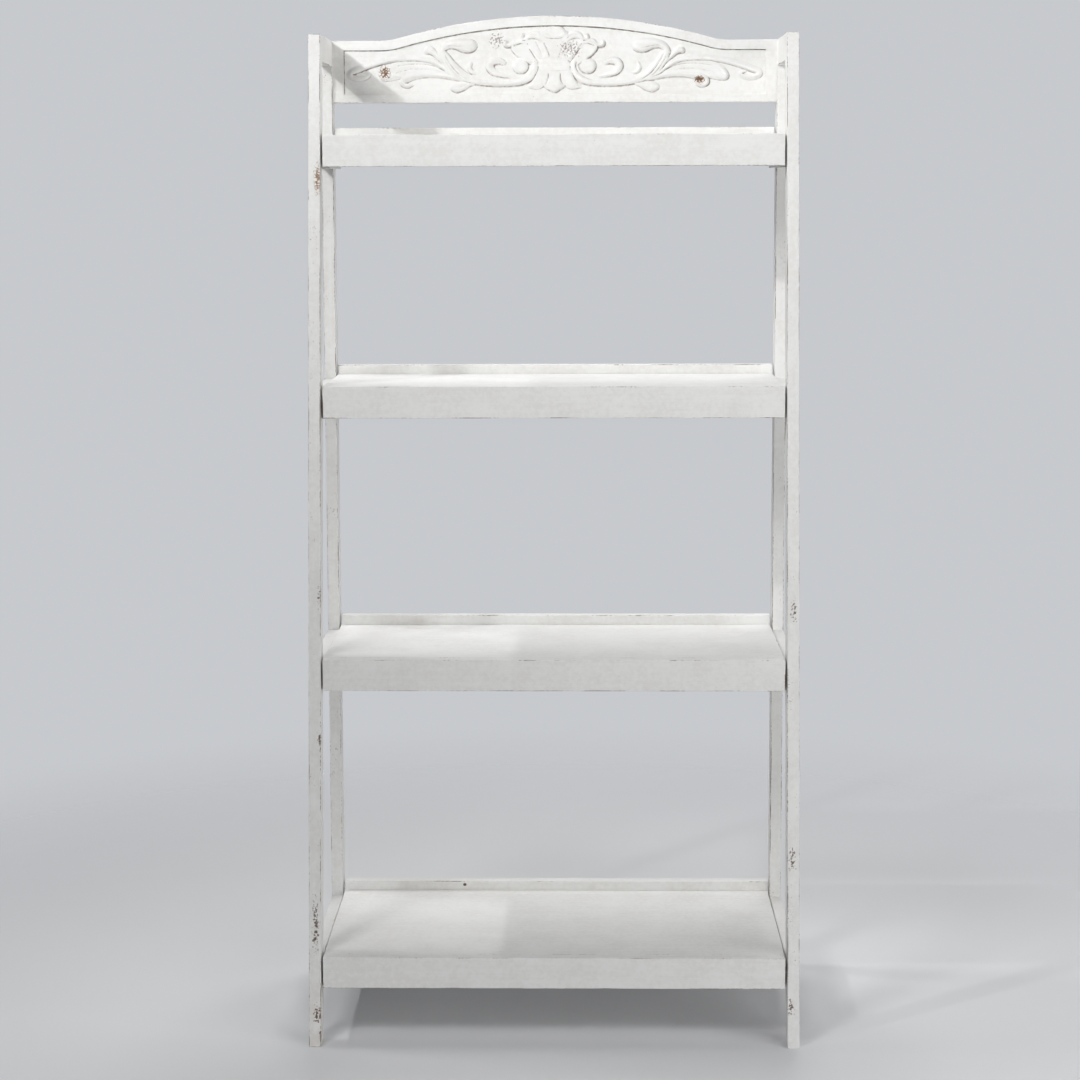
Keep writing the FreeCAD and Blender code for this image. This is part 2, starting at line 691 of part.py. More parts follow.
def carving():
    """All strokes of the carving, those of the right half mirrored to the left."""
    strokes = []
    for index, (name, shares) in enumerate({**MIDDLE_SHARES, **STROKE_SHARES}.items()):
        # No two roots end in one plane, which keeps the strokes easy to fuse where they cross
        item = stroke(name, shares, value(f"sizes.carving_root + {index} * sizes.carving_root_step"))
        strokes.append(item)
        if name in STROKE_SHARES:
            mirrored = doc.addObject("Part::Mirroring", f"mirrored_{name}")
            mirrored.Source = item
            mirrored.Normal = Vector(1, 0, 0)
            strokes.append(mirrored)
    return strokes


def crown():
    """The crown board: arched top, sunk field with its carving, and a stub tenon at each end."""
    body = doc.addObject("PartDesign::Body", "crown_board")
    place(body, f"(-{INNER_HALF} - sizes.crown_tenon_length)", CROWN_FRONT, CROWN_FOOT)
    feature = pad(body, arched_outline(body, "outline", "0", "0", "0"), "sizes.crown_thickness")
    soften(body, feature, flat_edge)
    length = f"(2 * {INNER_HALF} + 2 * sizes.crown_tenon_length)"
    tenons = rectangle("0", length, CROWN_TENON_FOOT, CROWN_TENON_HEAD)
    start = "((sizes.crown_thickness - sizes.tenon_thickness) / 2)"
    pad(body, polygons(body, "tenons", "XZ_Plane", [tenons], start), "sizes.tenon_thickness")
    field = arched_outline(
        body, "field", "sizes.field_end_margin", "sizes.field_foot_margin", "sizes.field_top_margin"
    )
    pocket(body, field, "sizes.field_depth")
    whole = doc.addObject("Part::MultiFuse", "crown_panel")
    whole.Shapes = [body, *carving()]
    keep(whole, "crown_panel")


def tray_screws():
    """A screw up through each cleat into the end of the board that lies on it."""
    items = []
    for side in SIDES:
        sign = "-" if side == "left" else ""
        middle = f"{sign}({INNER_HALF} - sizes.cleat_thickness / 2)"
        for shelf in SHELF_HEIGHTS:
            foot = f"({board_foot(shelf)} - sizes.cleat_height)"
            items.append(screw(f"{side}_{shelf}_screw", middle, screw_place(shelf), foot))
    group("tray_screws", items)


def check():
    """Stop if a feature failed, a cut removed nothing or a sub-part is no valid solid."""
    for item in doc.Objects:
        if {"Invalid", "Error"} & set(item.State):
            raise RuntimeError(f"{item.Name} failed: {item.State}")
    for base, cut in cuts:
        if not cut.Shape.Volume < base.Shape.Volume:
            raise RuntimeError(f"{cut.Name} removes nothing")
    for node in nodes:
        if node.Shape.isNull() or not node.Shape.isValid() or not node.Shape.Solids:
            raise RuntimeError(f"{node.Label} is no valid solid")


for side in SIDES:
    front_stile(side)
    rear_post(side)
    for rail in RAIL_FEET:
        side_rail(side, rail)
for shelf in SHELF_HEIGHTS:
    board(shelf)
    apron(shelf)
    lip(shelf)
    for side in SIDES:
        cleat(side, shelf)
crown()
tray_screws()

doc.recompute()
check()
os.makedirs("parts", exist_ok=True)
for node in nodes:
    node.Shape.exportStep(f"parts/{node.Label}.step")
print(len(nodes), "sub-parts written")
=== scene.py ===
import math

import bpy
import numpy as np
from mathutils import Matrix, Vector


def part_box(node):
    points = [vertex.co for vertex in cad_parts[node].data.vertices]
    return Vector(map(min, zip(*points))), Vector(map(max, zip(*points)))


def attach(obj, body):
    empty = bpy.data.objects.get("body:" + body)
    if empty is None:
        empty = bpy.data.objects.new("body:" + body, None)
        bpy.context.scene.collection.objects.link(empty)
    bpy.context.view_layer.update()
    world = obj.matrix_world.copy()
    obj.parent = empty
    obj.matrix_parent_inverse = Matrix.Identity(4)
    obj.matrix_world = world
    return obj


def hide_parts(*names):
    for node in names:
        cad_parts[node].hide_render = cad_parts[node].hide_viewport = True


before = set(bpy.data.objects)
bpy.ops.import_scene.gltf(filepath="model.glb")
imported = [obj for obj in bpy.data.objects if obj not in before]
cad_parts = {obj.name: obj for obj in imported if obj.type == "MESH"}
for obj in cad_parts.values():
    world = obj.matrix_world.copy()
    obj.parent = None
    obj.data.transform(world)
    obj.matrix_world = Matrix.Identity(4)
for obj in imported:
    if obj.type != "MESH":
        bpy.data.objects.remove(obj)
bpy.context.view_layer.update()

SIDES = ("left", "right")
SHELVES = ("bottom", "lower", "upper", "top")
RAILS = SHELVES + ("head",)
AXES = {"X": 0, "Y": 1, "Z": 2}

# The stile's width from front to back in metres, which the frame doesn't give by itself
STILE_WIDTH = 0.035

# The rounded arrises, the rings of points along a timber, and how uneven the faces are, in metres
ARRIS = 0.0009
ARRIS_SEGMENTS = 3
ARRIS_PROFILE = 0.6
RING_PITCH = 0.02
FEWEST_RINGS = 2
UNEVEN_STRENGTH = 0.0006
UNEVEN_SCALE = 0.06

# Angles in degrees: an edge sharper than the first is rounded, and an edge of a timber or of the crown that
# is sharper than its own one is shaded sharp
ROUNDED_ANGLE = 40
TIMBER_SHARP_ANGLE = 35
CROWN_SHARP_ANGLE = 62

# Colours of the full and the thin coat of paint, of the primer that shows round a rub, and of the bare wood
PAINT = (0.86, 0.857, 0.843, 1)
PAINT_THIN = (0.77, 0.758, 0.73, 1)
PRIMER = (0.72, 0.52, 0.38, 1)
BARE_WOOD = (0.15, 0.08, 0.045, 1)

# Colours of what lies on the paint, and of painted shade: dust, which also paints the shade in the carving,
# dark specks, the painted shadow line under the crown's arch, and stains
DUST_AND_SHADE = (0.36, 0.315, 0.28, 1)
SPECK = (0.13, 0.075, 0.05, 1)
PAINTED_ARCH_SHADOW = (0.22, 0.17, 0.14, 1)
STAIN = (0.52, 0.42, 0.34, 1)

# Colours of the zinc plate on the screws, bright and cloudy
ZINC = (0.62, 0.62, 0.6, 1)
ZINC_CLOUDY = (0.42, 0.42, 0.4, 1)


# Steps in modelling a piece
def clear_selection():
    """Deselect every object, so that an operator acts on the new piece alone."""
    bpy.ops.object.select_all(action="DESELECT")


def pick(piece, kind, wanted):
    """Select the vertices or edges of a piece that are wanted, and leave it in edit mode."""
    bpy.context.view_layer.objects.active = piece
    bpy.ops.object.mode_set(mode="EDIT")
    bpy.ops.mesh.select_mode(type={"vertices": "VERT", "edges": "EDGE"}[kind])
    bpy.ops.mesh.select_all(action="DESELECT")
    bpy.ops.object.mode_set(mode="OBJECT")
    for item in getattr(piece.data, kind):
        item.select = wanted(item)
    bpy.ops.object.mode_set(mode="EDIT")


def block(name, low, high):
    """A squared timber between two corners, its object at the origin."""
    clear_selection()
    low, high = Vector(low), Vector(high)
    bpy.ops.mesh.primitive_cube_add(size=1, location=(low + high) / 2, scale=high - low)
    piece = bpy.context.object
    piece.name = piece.data.name = name
    bpy.ops.object.transform_apply(location=True, rotation=True, scale=True)
    return piece


def slide(piece, wanted, distance):
    """Move the vertices of a block that are wanted."""
    pick(piece, "vertices", wanted)
    bpy.ops.transform.translate(value=distance)
    bpy.ops.object.mode_set(mode="OBJECT")


def ring_cuts(piece, along):
    """Divide the long edges of a block, so that the timber can be a little uneven along its length."""
    axis = AXES[along]
    places = [vertex.co for vertex in piece.data.vertices]
    length = max(place[axis] for place in places) - min(place[axis] for place in places)

    def runs_along(edge):
        start, end = (places[index] for index in edge.vertices)
        return abs(start[axis] - end[axis]) > length / 2

    pick(piece, "edges", runs_along)
    bpy.ops.mesh.subdivide(number_cuts=max(FEWEST_RINGS, round(length / RING_PITCH)))
    bpy.ops.object.mode_set(mode="OBJECT")


def modify(piece, kind, **settings):
    """Add a modifier, set it and apply it."""
    modifier = piece.modifiers.new(kind.lower(), kind)
    for name, setting in settings.items():
        setattr(modifier, name, setting)
    bpy.context.view_layer.objects.active = piece
    bpy.ops.object.modifier_apply(modifier=modifier.name)


def vertex_places(piece):
    """The places of a piece's vertices as an array."""
    places = np.empty(len(piece.data.vertices) * 3, np.float32)
    piece.data.vertices.foreach_get("co", places)
    return places.reshape(-1, 3)


def note_on_vertices(piece, name, kind, values):
    """Note a number or a vector on each vertex of a piece for the paint to read."""
    attribute = piece.data.attributes.new(name, kind, "POINT")
    field = {"FLOAT": "value", "FLOAT_VECTOR": "vector"}[kind]
    attribute.data.foreach_set(field, np.ascontiguousarray(values, np.float32).ravel())


uneven = bpy.data.textures.new("hand_planed", "CLOUDS")
uneven.noise_scale = UNEVEN_SCALE


def make_uneven(piece):
    """Give the faces of a piece the slight waves that planing leaves."""
    modify(
        piece, "DISPLACE", texture=uneven, texture_coords="LOCAL", strength=UNEVEN_STRENGTH, mid_level=0.5
    )


def shade_smoothly(piece, sharp_angle):
    """Shade a piece smoothly, apart from the edges that are sharper than an angle in degrees."""
    clear_selection()
    piece.select_set(True)
    bpy.context.view_layer.objects.active = piece
    bpy.ops.object.shade_smooth_by_angle(angle=math.radians(sharp_angle))


# Steps in building a material
def add_node(tree, kind, values=None, **settings):
    """Add a shader node, set it, and feed its sockets with values or with other nodes' sockets."""
    made = tree.nodes.new(kind)
    for name, setting in settings.items():
        setattr(made, name, setting)
    for socket, value in (values or {}).items():
        if isinstance(value, bpy.types.NodeSocket):
            tree.links.new(value, made.inputs[socket])
        else:
            made.inputs[socket].default_value = value
    return made


def new_material(name):
    """A material, its node tree, its shader, and the place of each point on the piece."""
    material = bpy.data.materials.new(name)
    material.use_nodes = True
    tree = material.node_tree
    shader = tree.nodes["Principled BSDF"]
    place = add_node(tree, "ShaderNodeTexCoord").outputs["Object"]
    return material, tree, shader, place


def new_group(name, inputs, outputs):
    """A shader node group with named sockets, given as name and kind."""
    tree = bpy.data.node_groups.new(name, "ShaderNodeTree")
    for label, kind in inputs:
        tree.interface.new_socket(name=label, in_out="INPUT", socket_type="NodeSocket" + kind)
    for label, kind in outputs:
        tree.interface.new_socket(name=label, in_out="OUTPUT", socket_type="NodeSocket" + kind)
    entry = tree.nodes.new("NodeGroupInput")
    leave = tree.nodes.new("NodeGroupOutput")
    return tree, entry, leave


def reckon(tree, operation, first, second):
    """One value from two."""
    return add_node(tree, "ShaderNodeMath", {0: first, 1: second}, operation=operation).outputs[0]


def plus(tree, first, second):
    """The sum of two values."""
    return reckon(tree, "ADD", first, second)


def minus(tree, first, second):
    """The first value less the second."""
    return reckon(tree, "SUBTRACT", first, second)


def times(tree, first, second):
    """The product of two values."""
    return reckon(tree, "MULTIPLY", first, second)


def larger(tree, first, second):
    """The larger of two values."""
    return reckon(tree, "MAXIMUM", first, second)


def smaller(tree, first, second):
    """The smaller of two values."""
    return reckon(tree, "MINIMUM", first, second)


def reckon_vector(tree, operation, *vectors):
    """One vector from one or two others."""
    return add_node(tree, "ShaderNodeVectorMath", dict(enumerate(vectors)), operation=operation).outputs[0]


def length_of(tree, vector):
    """The length of a vector."""
    return add_node(tree, "ShaderNodeVectorMath", {0: vector}, operation="LENGTH").outputs["Value"]


def step_between(tree, value, low, high, to_low=0.0, to_high=1.0):
    """A smooth step of a value from one limit to the other."""
    limits = {"Value": value, "From Min": low, "From Max": high, "To Min": to_low, "To Max": to_high}
    return add_node(tree, "ShaderNodeMapRange", limits, interpolation_type="SMOOTHSTEP").outputs["Result"]


def noise_of(tree, vector, scale, detail, roughness):
    """The value of a noise texture."""
    values = {"Vector": vector, "Scale": scale, "Detail": detail, "Roughness": roughness}
    return add_node(tree, "ShaderNodeTexNoise", values).outputs["Fac"]


def mix_colour(tree, factor, first, second):
    """Mix two colours, each a plain colour or another node's socket."""
    return add_node(tree, "ShaderNodeMix", {0: factor, 6: first, 7: second}, data_type="RGBA").outputs[2]


def noted(tree, name, output):
    """What is noted on the vertices under a name."""
    return add_node(tree, "ShaderNodeAttribute", attribute_name=name).outputs[output]


def drawn_out(along, across_scale, along_scale):
    """Factors for the three axes that draw a pattern out along the grain."""
    return [along_scale if index == AXES[along] else across_scale for index in range(3)]


# The streaks of the grain and brush: a broad and a fine noise, each as its scale, detail and roughness
BROAD_NOISE = (0.35, 3.0, 0.6)
FINE_NOISE = (1.6, 3.0, 0.65)
BROAD_SHARE = 0.6
FINE_SHARE = 0.4


def grain_group():
    """Long faint streaks of the grain and brush under the paint, and the ridges that they raise."""
    tree, entry, leave = new_group(
        "painted_grain",
        [("Place", "Vector"), ("Stretch", "Vector")],
        [("Streak", "Float"), ("Ridge", "Float")],
    )
    stretched = reckon_vector(tree, "MULTIPLY", entry.outputs["Place"], entry.outputs["Stretch"])
    broad = noise_of(tree, stretched, *BROAD_NOISE)
    fine = noise_of(tree, stretched, *FINE_NOISE)
    streak = plus(tree, times(tree, broad, BROAD_SHARE), times(tree, fine, FINE_SHARE))
    tree.links.new(streak, leave.inputs["Streak"])
    tree.links.new(fine, leave.inputs["Ridge"])
    return tree


def arris_group():
    """How far a point of a timber is from its nearest arris, in metres, from its place in the section."""
    tree, entry, leave = new_group(
        "nearness_to_arris",
        [("Section", "Vector"), ("Half size", "Vector")],
        [("Distance", "Float")],
    )
    positive = reckon_vector(tree, "ABSOLUTE", entry.outputs["Section"])
    inside = reckon_vector(tree, "SUBTRACT", entry.outputs["Half size"], positive)
    parts = add_node(tree, "ShaderNodeSeparateXYZ", {0: inside})
    pairs = [
        larger(tree, parts.outputs[first], parts.outputs[second])
        for first, second in (("X", "Y"), ("Y", "Z"), ("X", "Z"))
    ]
    nearest = smaller(tree, smaller(tree, pairs[0], pairs[1]), pairs[2])
    tree.links.new(nearest, leave.inputs["Distance"])
    return tree


# The part of its reach inside which a patch covers all
PATCH_CORE_SHARE = 0.15


def patch_group():
    """How strongly one patch covers a point: 1 in its middle, 0 past its reach."""
    tree, entry, leave = new_group(
        "rubbed_patch",
        [("Place", "Vector"), ("Middle", "Vector"), ("Reach", "Vector")],
        [("Cover", "Float")],
    )
    away = reckon_vector(tree, "SUBTRACT", entry.outputs["Place"], entry.outputs["Middle"])
    share = reckon_vector(tree, "DIVIDE", away, entry.outputs["Reach"])
    cover = step_between(tree, length_of(tree, share), 1.0, PATCH_CORE_SHARE)
    tree.links.new(cover, leave.inputs["Cover"])
    return tree


GRAIN = grain_group()
ARRIS_NEARNESS = arris_group()
PATCH = patch_group()

# Patches of crackled paint that the photograph shows, each as its middle and its reach along the three axes
STILE_PATCHES = [
    ((-0.3365, -0.036, 1.232), (0.008, 0.02, 0.030)),
]
CROWN_PATCHES = [
    ((-0.2545, 0.155, 1.390), (0.012, 0.02, 0.014)),
    ((0.2175, 0.155, 1.378), (0.011, 0.02, 0.009)),
]

# Scuffs of fine dark dots, in the same form
STILE_SCUFFS = [
    ((-0.3345, -0.132, 0.436), (0.006, 0.02, 0.022)),
    ((-0.3345, -0.107, 0.640), (0.006, 0.02, 0.026)),
    ((-0.3400, -0.163, 0.172), (0.008, 0.02, 0.065)),
    ((-0.3380, -0.178, 0.046), (0.009, 0.02, 0.026)),
    ((-0.3330, -0.182, 0.018), (0.005, 0.02, 0.016)),
    ((0.3425, -0.110, 0.618), (0.007, 0.02, 0.026)),
    ((0.3400, -0.152, 0.268), (0.009, 0.02, 0.024)),
    ((0.3375, -0.177, 0.058), (0.008, 0.02, 0.020)),
]
CROWN_SCUFFS = [
    ((0.0235, 0.155, 1.4245), (0.025, 0.02, 0.019)),
    ((-0.0855, 0.155, 1.4370), (0.018, 0.02, 0.018)),
]

# A small knot on the bottom lip, in the same form
LIP_KNOTS = [
    ((-0.1425, 0.14, 0.1365), (0.0045, 0.05, 0.004)),
]

# Faint brown stains, in the same form
STILE_STAINS = [
    ((-0.3405, -0.180, 0.020), (0.030, 0.05, 0.110)),
]
LIP_STAINS = [
    ((-0.2230, 0.14, 0.1365), (0.035, 0.05, 0.012)),
    ((-0.2100, 0.14, 0.5520), (0.040, 0.05, 0.012)),
]

# Two noises that are drawn out along the grain, each as its scale, detail and roughness
QUICK_NOISE = (1.0, 3.0, 0.6)
CLUSTER_NOISE = (1.0, 2.0, 0.5)

# How fine the drawn-out patterns are across and along the grain
GRAIN_SCALES = (420.0, 9.0)
QUICK_SCALES = (900.0, 420.0)
CLUSTER_SCALES = (60.0, 14.0)

# The coat of paint: clouds, a finer mottle and the streaks of the brush show where it is thin
CLOUD_NOISE = (17.0, 4.0, 0.6)
MOTTLE_NOISE = (150.0, 3.0, 0.6)
STREAK_STRENGTH = 0.4
COAT_LIMITS = (0.32, 0.60)
THIN_COAT_STRENGTH = 0.7

# Wear on the arrises: dashes where a slow and a quick noise are both high, within a reach in metres. Upright
# arrises wear more than the others, and so do those of level timbers below a narrow middle band, whose dark
# wear also paints the shade along the lower arrises
SLOW_NOISE = (22.0, 2.0, 0.5)
SLOW_SHARE = 0.55
QUICK_SHARE = 0.45
WEAR_REACH = 0.0016
WEAR_FULL_REACH = 0.0002
LEVEL_WEAR = 0.115
LOWER_WEAR_AND_SHADE = 0.18
UPRIGHT_WEAR = 0.165
MIDDLE_BAND = (-0.001, 0.001)
BARE_LIMITS = (0.685, 0.700)
WORN_THIN_LIMITS = (0.605, 0.700)
WORN_THIN_STRENGTH = 0.35

# Rubbed patches: islands of bare wood with ragged edges and a halo of primer. Those on the crown are chips,
# which are broader and darker than the crackle on the stile
RAGGED_NOISE = (700.0, 2.0, 0.7)
RAGGED_MIDDLE = 0.55
RAGGED_STRENGTH = 0.9
CRACKLE_SCALE = 240.0
CRACKLE_BREADTH = 0.22
CRACKLE_STRENGTH = 0.8
CHIP_BREADTH = 0.30
CHIP_STRENGTH = 0.95
ISLAND_LIMITS = (0.0, 0.05)
PATCH_LIMITS = (0.02, 0.1)
HALO_LIMITS = (-0.2, 0.05)
HALO_STRENGTH = 0.85

# Stains, which are blotchy
BLOTCH_NOISE = (45.0, 3.0, 0.6)
BLOTCH_LIMITS = (0.3, 0.7)
STAIN_STRENGTH = 0.35

# Fine dark specks, which crowd together in clusters on the upright timbers and the crown, the thicker dots
# of the scuffs, and the knot
SPECK_NOISE = (620.0, 1.0, 0.5)
UPRIGHT_CROWD = 0.13
CROWN_CROWD = 0.052
SPECK_LIMITS = (0.81, 0.84)
SPECK_STRENGTH = 0.85
CLUSTER_LIMITS = (0.50, 0.68)
SCUFF_NOISE = (340.0, 2.0, 0.6)
SCUFF_CROWD = 0.20
SCUFF_LIMITS = (0.02, 0.2)
DOT_LIMITS = (0.685, 0.705)
DOT_STRENGTH = 0.95
CROWN_DOT_STRENGTH = 0.6
KNOT_LIMITS = (0.1, 0.6)

# Broken lines of dust and painted shade in the carving's hollows, a darker painted shadow line under the
# arch, and bare specks in the dust
BREAK_NOISE = (130.0, 3.0, 0.6)
BREAK_LIMITS = (0.38, 0.62)
FAINTEST_DUST_AND_SHADE = 0.35
DUST_AND_SHADE_LIMITS = (0.022, 0.075)
DUST_AND_SHADE_STRENGTH = 0.85
PAINTED_ARCH_SHADOW_LIMITS = (0.095, 0.105)
BARE_SPECK_LIMITS = (0.60, 0.66)

# How rough and how shiny the surface is, and how high the ridges and how deep the worn places are, in metres
PAINT_ROUGHNESS = 0.48
WOOD_ROUGHNESS = 0.85
PAINT_SPECULAR = 0.35
RIDGE_HEIGHT = 0.00012
WORN_DEPTH = 0.00025
RELIEF_STRENGTH = 0.6


def cover_of(tree, place, patches):
    """How strongly the nearest of several patches covers a point."""
    cover = 0.0
    for middle, reach in patches:
        values = {"Place": place, "Middle": middle, "Reach": reach}
        patch = add_node(tree, "ShaderNodeGroup", values, node_tree=PATCH)
        cover = larger(tree, cover, patch.outputs["Cover"])
    return cover


def coat_colour(tree, place, streak):
    """The colour of the coat of paint, from full to thin."""
    mottled = times(tree, noise_of(tree, place, *CLOUD_NOISE), noise_of(tree, place, *MOTTLE_NOISE))
    tone = plus(tree, mottled, times(tree, streak, STREAK_STRENGTH))
    thin = step_between(tree, tone, *COAT_LIMITS, 0.0, THIN_COAT_STRENGTH)
    return mix_colour(tree, thin, PAINT, PAINT_THIN)


def timber_arrises(tree, along):
    """On a timber, how far a point is from its nearest arris, and its wear, heavier on lower arrises as
    painted shade.
    """
    section = noted(tree, "section", "Vector")
    values = {"Section": section, "Half size": noted(tree, "half_size", "Vector")}
    distance = add_node(tree, "ShaderNodeGroup", values, node_tree=ARRIS_NEARNESS).outputs["Distance"]
    if along == "Z":
        return distance, UPRIGHT_WEAR
    up = add_node(tree, "ShaderNodeSeparateXYZ", {0: section}).outputs["Z"]
    # Lower arrises of level timbers get heavier wear, which also paints the shade along their lower side
    return distance, step_between(tree, up, *MIDDLE_BAND, LOWER_WEAR_AND_SHADE, LEVEL_WEAR)


def arris_wear(tree, place, quick, distance, strength):
    """How bare the wood is along the arrises, and how much paint is worn thin there."""
    slow = noise_of(tree, place, *SLOW_NOISE)
    edge = step_between(tree, distance, WEAR_REACH, WEAR_FULL_REACH)
    dashes = plus(tree, times(tree, slow, SLOW_SHARE), times(tree, quick, QUICK_SHARE))
    worn = plus(tree, dashes, times(tree, edge, strength))
    bare = times(tree, step_between(tree, worn, *BARE_LIMITS), edge)
    thin = times(tree, step_between(tree, worn, *WORN_THIN_LIMITS), edge)
    return bare, thin


def rubbed_patches(tree, place, patches, breadth, strength):
    """How bare the rubbed patches are, in islands that crowd together towards the middle, and their halo."""
    cover = cover_of(tree, place, patches)
    values = {"Vector": place, "Scale": CRACKLE_SCALE}
    cells = add_node(tree, "ShaderNodeTexVoronoi", values, feature="DISTANCE_TO_EDGE").outputs["Distance"]
    ragged = minus(tree, noise_of(tree, place, *RAGGED_NOISE), RAGGED_MIDDLE)
    islands = minus(tree, times(tree, cover, breadth), cells)
    islands = plus(tree, islands, times(tree, ragged, RAGGED_STRENGTH))
    inside = step_between(tree, cover, *PATCH_LIMITS)
    rubbed = times(tree, step_between(tree, islands, *ISLAND_LIMITS), inside)
    halo = times(tree, step_between(tree, islands, *HALO_LIMITS), cover)
    return times(tree, rubbed, strength), halo


def stain_strength(tree, place, stains):
    """How strongly the stains colour a point."""
    blotch = step_between(tree, noise_of(tree, place, *BLOTCH_NOISE), *BLOTCH_LIMITS, 0.0, STAIN_STRENGTH)
    return times(tree, cover_of(tree, place, stains), blotch)


def fine_specks(tree, place, along, crowd):
    """Fine dark specks, which crowd together in clusters that are drawn out along the grain."""
    specks = noise_of(tree, place, *SPECK_NOISE)
    if crowd:
        cluster = reckon_vector(tree, "MULTIPLY", place, drawn_out(along, *CLUSTER_SCALES))
        cluster = noise_of(tree, cluster, *CLUSTER_NOISE)
        specks = plus(tree, specks, step_between(tree, cluster, *CLUSTER_LIMITS, 0.0, crowd))
    return step_between(tree, specks, *SPECK_LIMITS, 0.0, SPECK_STRENGTH)


def scuff_dots(tree, place, scuffs, strength):
    """The dark dots of the scuffs."""
    scuffed = cover_of(tree, place, scuffs)
    dots = plus(tree, noise_of(tree, place, *SCUFF_NOISE), times(tree, scuffed, SCUFF_CROWD))
    dots = times(tree, step_between(tree, dots, *DOT_LIMITS), step_between(tree, scuffed, *SCUFF_LIMITS))
    return times(tree, dots, strength)


def carving_dust_and_shade(tree, place, colour):
    """A colour with dust and painted shade in the carving and a painted shadow line under the arch, and how
    strong the dust and shade are.
    """
    hollow = noted(tree, "hollow", "Fac")
    broken = step_between(tree, noise_of(tree, place, *BREAK_NOISE), *BREAK_LIMITS, FAINTEST_DUST_AND_SHADE, 1.0)
    dust_and_shade = step_between(tree, hollow, *DUST_AND_SHADE_LIMITS, 0.0, DUST_AND_SHADE_STRENGTH)
    colour = mix_colour(tree, times(tree, dust_and_shade, broken), colour, DUST_AND_SHADE)
    arch = step_between(tree, hollow, *PAINTED_ARCH_SHADOW_LIMITS)
    return mix_colour(tree, times(tree, arch, broken), colour, PAINTED_ARCH_SHADOW), dust_and_shade


def paint_material(name, along, patches=(), scuffs=(), knots=(), stains=(), crowd=0.0, carved=False):
    """Off-white paint brushed over wood, rubbed through along the arrises and in a few places."""
    material, tree, shader, place = new_material(name)
    values = {"Place": place, "Stretch": drawn_out(along, *GRAIN_SCALES)}
    grain = add_node(tree, "ShaderNodeGroup", values, node_tree=GRAIN)
    quick = reckon_vector(tree, "MULTIPLY", place, drawn_out(along, *QUICK_SCALES))
    quick = noise_of(tree, quick, *QUICK_NOISE)

    # How bare the wood is
    if carved:
        distance, strength = noted(tree, "arris_distance", "Fac"), LEVEL_WEAR
    else:
        distance, strength = timber_arrises(tree, along)
    bare, thin = arris_wear(tree, place, quick, distance, strength)
    if patches:
        breadth, strength = (CHIP_BREADTH, CHIP_STRENGTH) if carved else (CRACKLE_BREADTH, CRACKLE_STRENGTH)
        rubbed, halo = rubbed_patches(tree, place, patches, breadth, strength)
        bare = larger(tree, bare, rubbed)

    # The colour, from the coat of paint up to what lies on it
    colour = coat_colour(tree, place, grain.outputs["Streak"])
    if stains:
        colour = mix_colour(tree, stain_strength(tree, place, stains), colour, STAIN)
    specks = fine_specks(tree, place, along, crowd)
    if scuffs:
        dots = scuff_dots(tree, place, scuffs, CROWN_DOT_STRENGTH if carved else DOT_STRENGTH)
        specks = larger(tree, specks, dots)
    if knots:
        knot = step_between(tree, cover_of(tree, place, knots), *KNOT_LIMITS)
        specks = larger(tree, specks, knot)
    colour = mix_colour(tree, specks, colour, SPECK)
    if carved:
        colour, dust_and_shade = carving_dust_and_shade(tree, place, colour)
        bare = larger(tree, bare, times(tree, step_between(tree, quick, *BARE_SPECK_LIMITS), dust_and_shade))
    colour = mix_colour(tree, times(tree, thin, WORN_THIN_STRENGTH), colour, DUST_AND_SHADE)
    if patches:
        colour = mix_colour(tree, times(tree, halo, HALO_STRENGTH), colour, PRIMER)
    colour = mix_colour(tree, bare, colour, BARE_WOOD)
    tree.links.new(colour, shader.inputs["Base Color"])

    # The shine and the relief
    roughness = step_between(tree, bare, 0.0, 1.0, PAINT_ROUGHNESS, WOOD_ROUGHNESS)
    tree.links.new(roughness, shader.inputs["Roughness"])
    shader.inputs["Specular IOR Level"].default_value = PAINT_SPECULAR
    height = times(tree, grain.outputs["Ridge"], RIDGE_HEIGHT)
    height = minus(tree, height, times(tree, bare, WORN_DEPTH))
    bump = add_node(tree, "ShaderNodeBump", {"Height": height, "Distance": 1.0, "Strength": RELIEF_STRENGTH})
    tree.links.new(bump.outputs["Normal"], shader.inputs["Normal"])
    return material


# The clouds in the zinc plate, and how rough it is where it is bright and where it is cloudy
ZINC_NOISE = (400.0, 3.0, 0.5)
ZINC_LIMITS = (0.2, 0.8)
ZINC_ROUGHNESS = (0.25, 0.5)


def zinc_material():
    """Zinc plate on the screws, a little cloudy."""
    material, tree, shader, place = new_material("zinc_plate")
    cloud = noise_of(tree, place, *ZINC_NOISE)
    tree.links.new(mix_colour(tree, cloud, ZINC, ZINC_CLOUDY), shader.inputs["Base Color"])
    tree.links.new(step_between(tree, cloud, *ZINC_LIMITS, *ZINC_ROUGHNESS), shader.inputs["Roughness"])
    shader.inputs["Metallic"].default_value = 1.0
    return material


PAINT_ALONG = {
    "X": paint_material("white_paint_lengthwise", "X", knots=LIP_KNOTS, stains=LIP_STAINS),
    "Y": paint_material("white_paint_crosswise", "Y"),
    "Z": paint_material(
        "white_paint_upright", "Z", STILE_PATCHES, STILE_SCUFFS, stains=STILE_STAINS, crowd=UPRIGHT_CROWD
    ),
}
PAINT_CARVED = paint_material(
    "white_paint_carved", "X", CROWN_PATCHES, CROWN_SCUFFS, crowd=CROWN_CROWD, carved=True
)


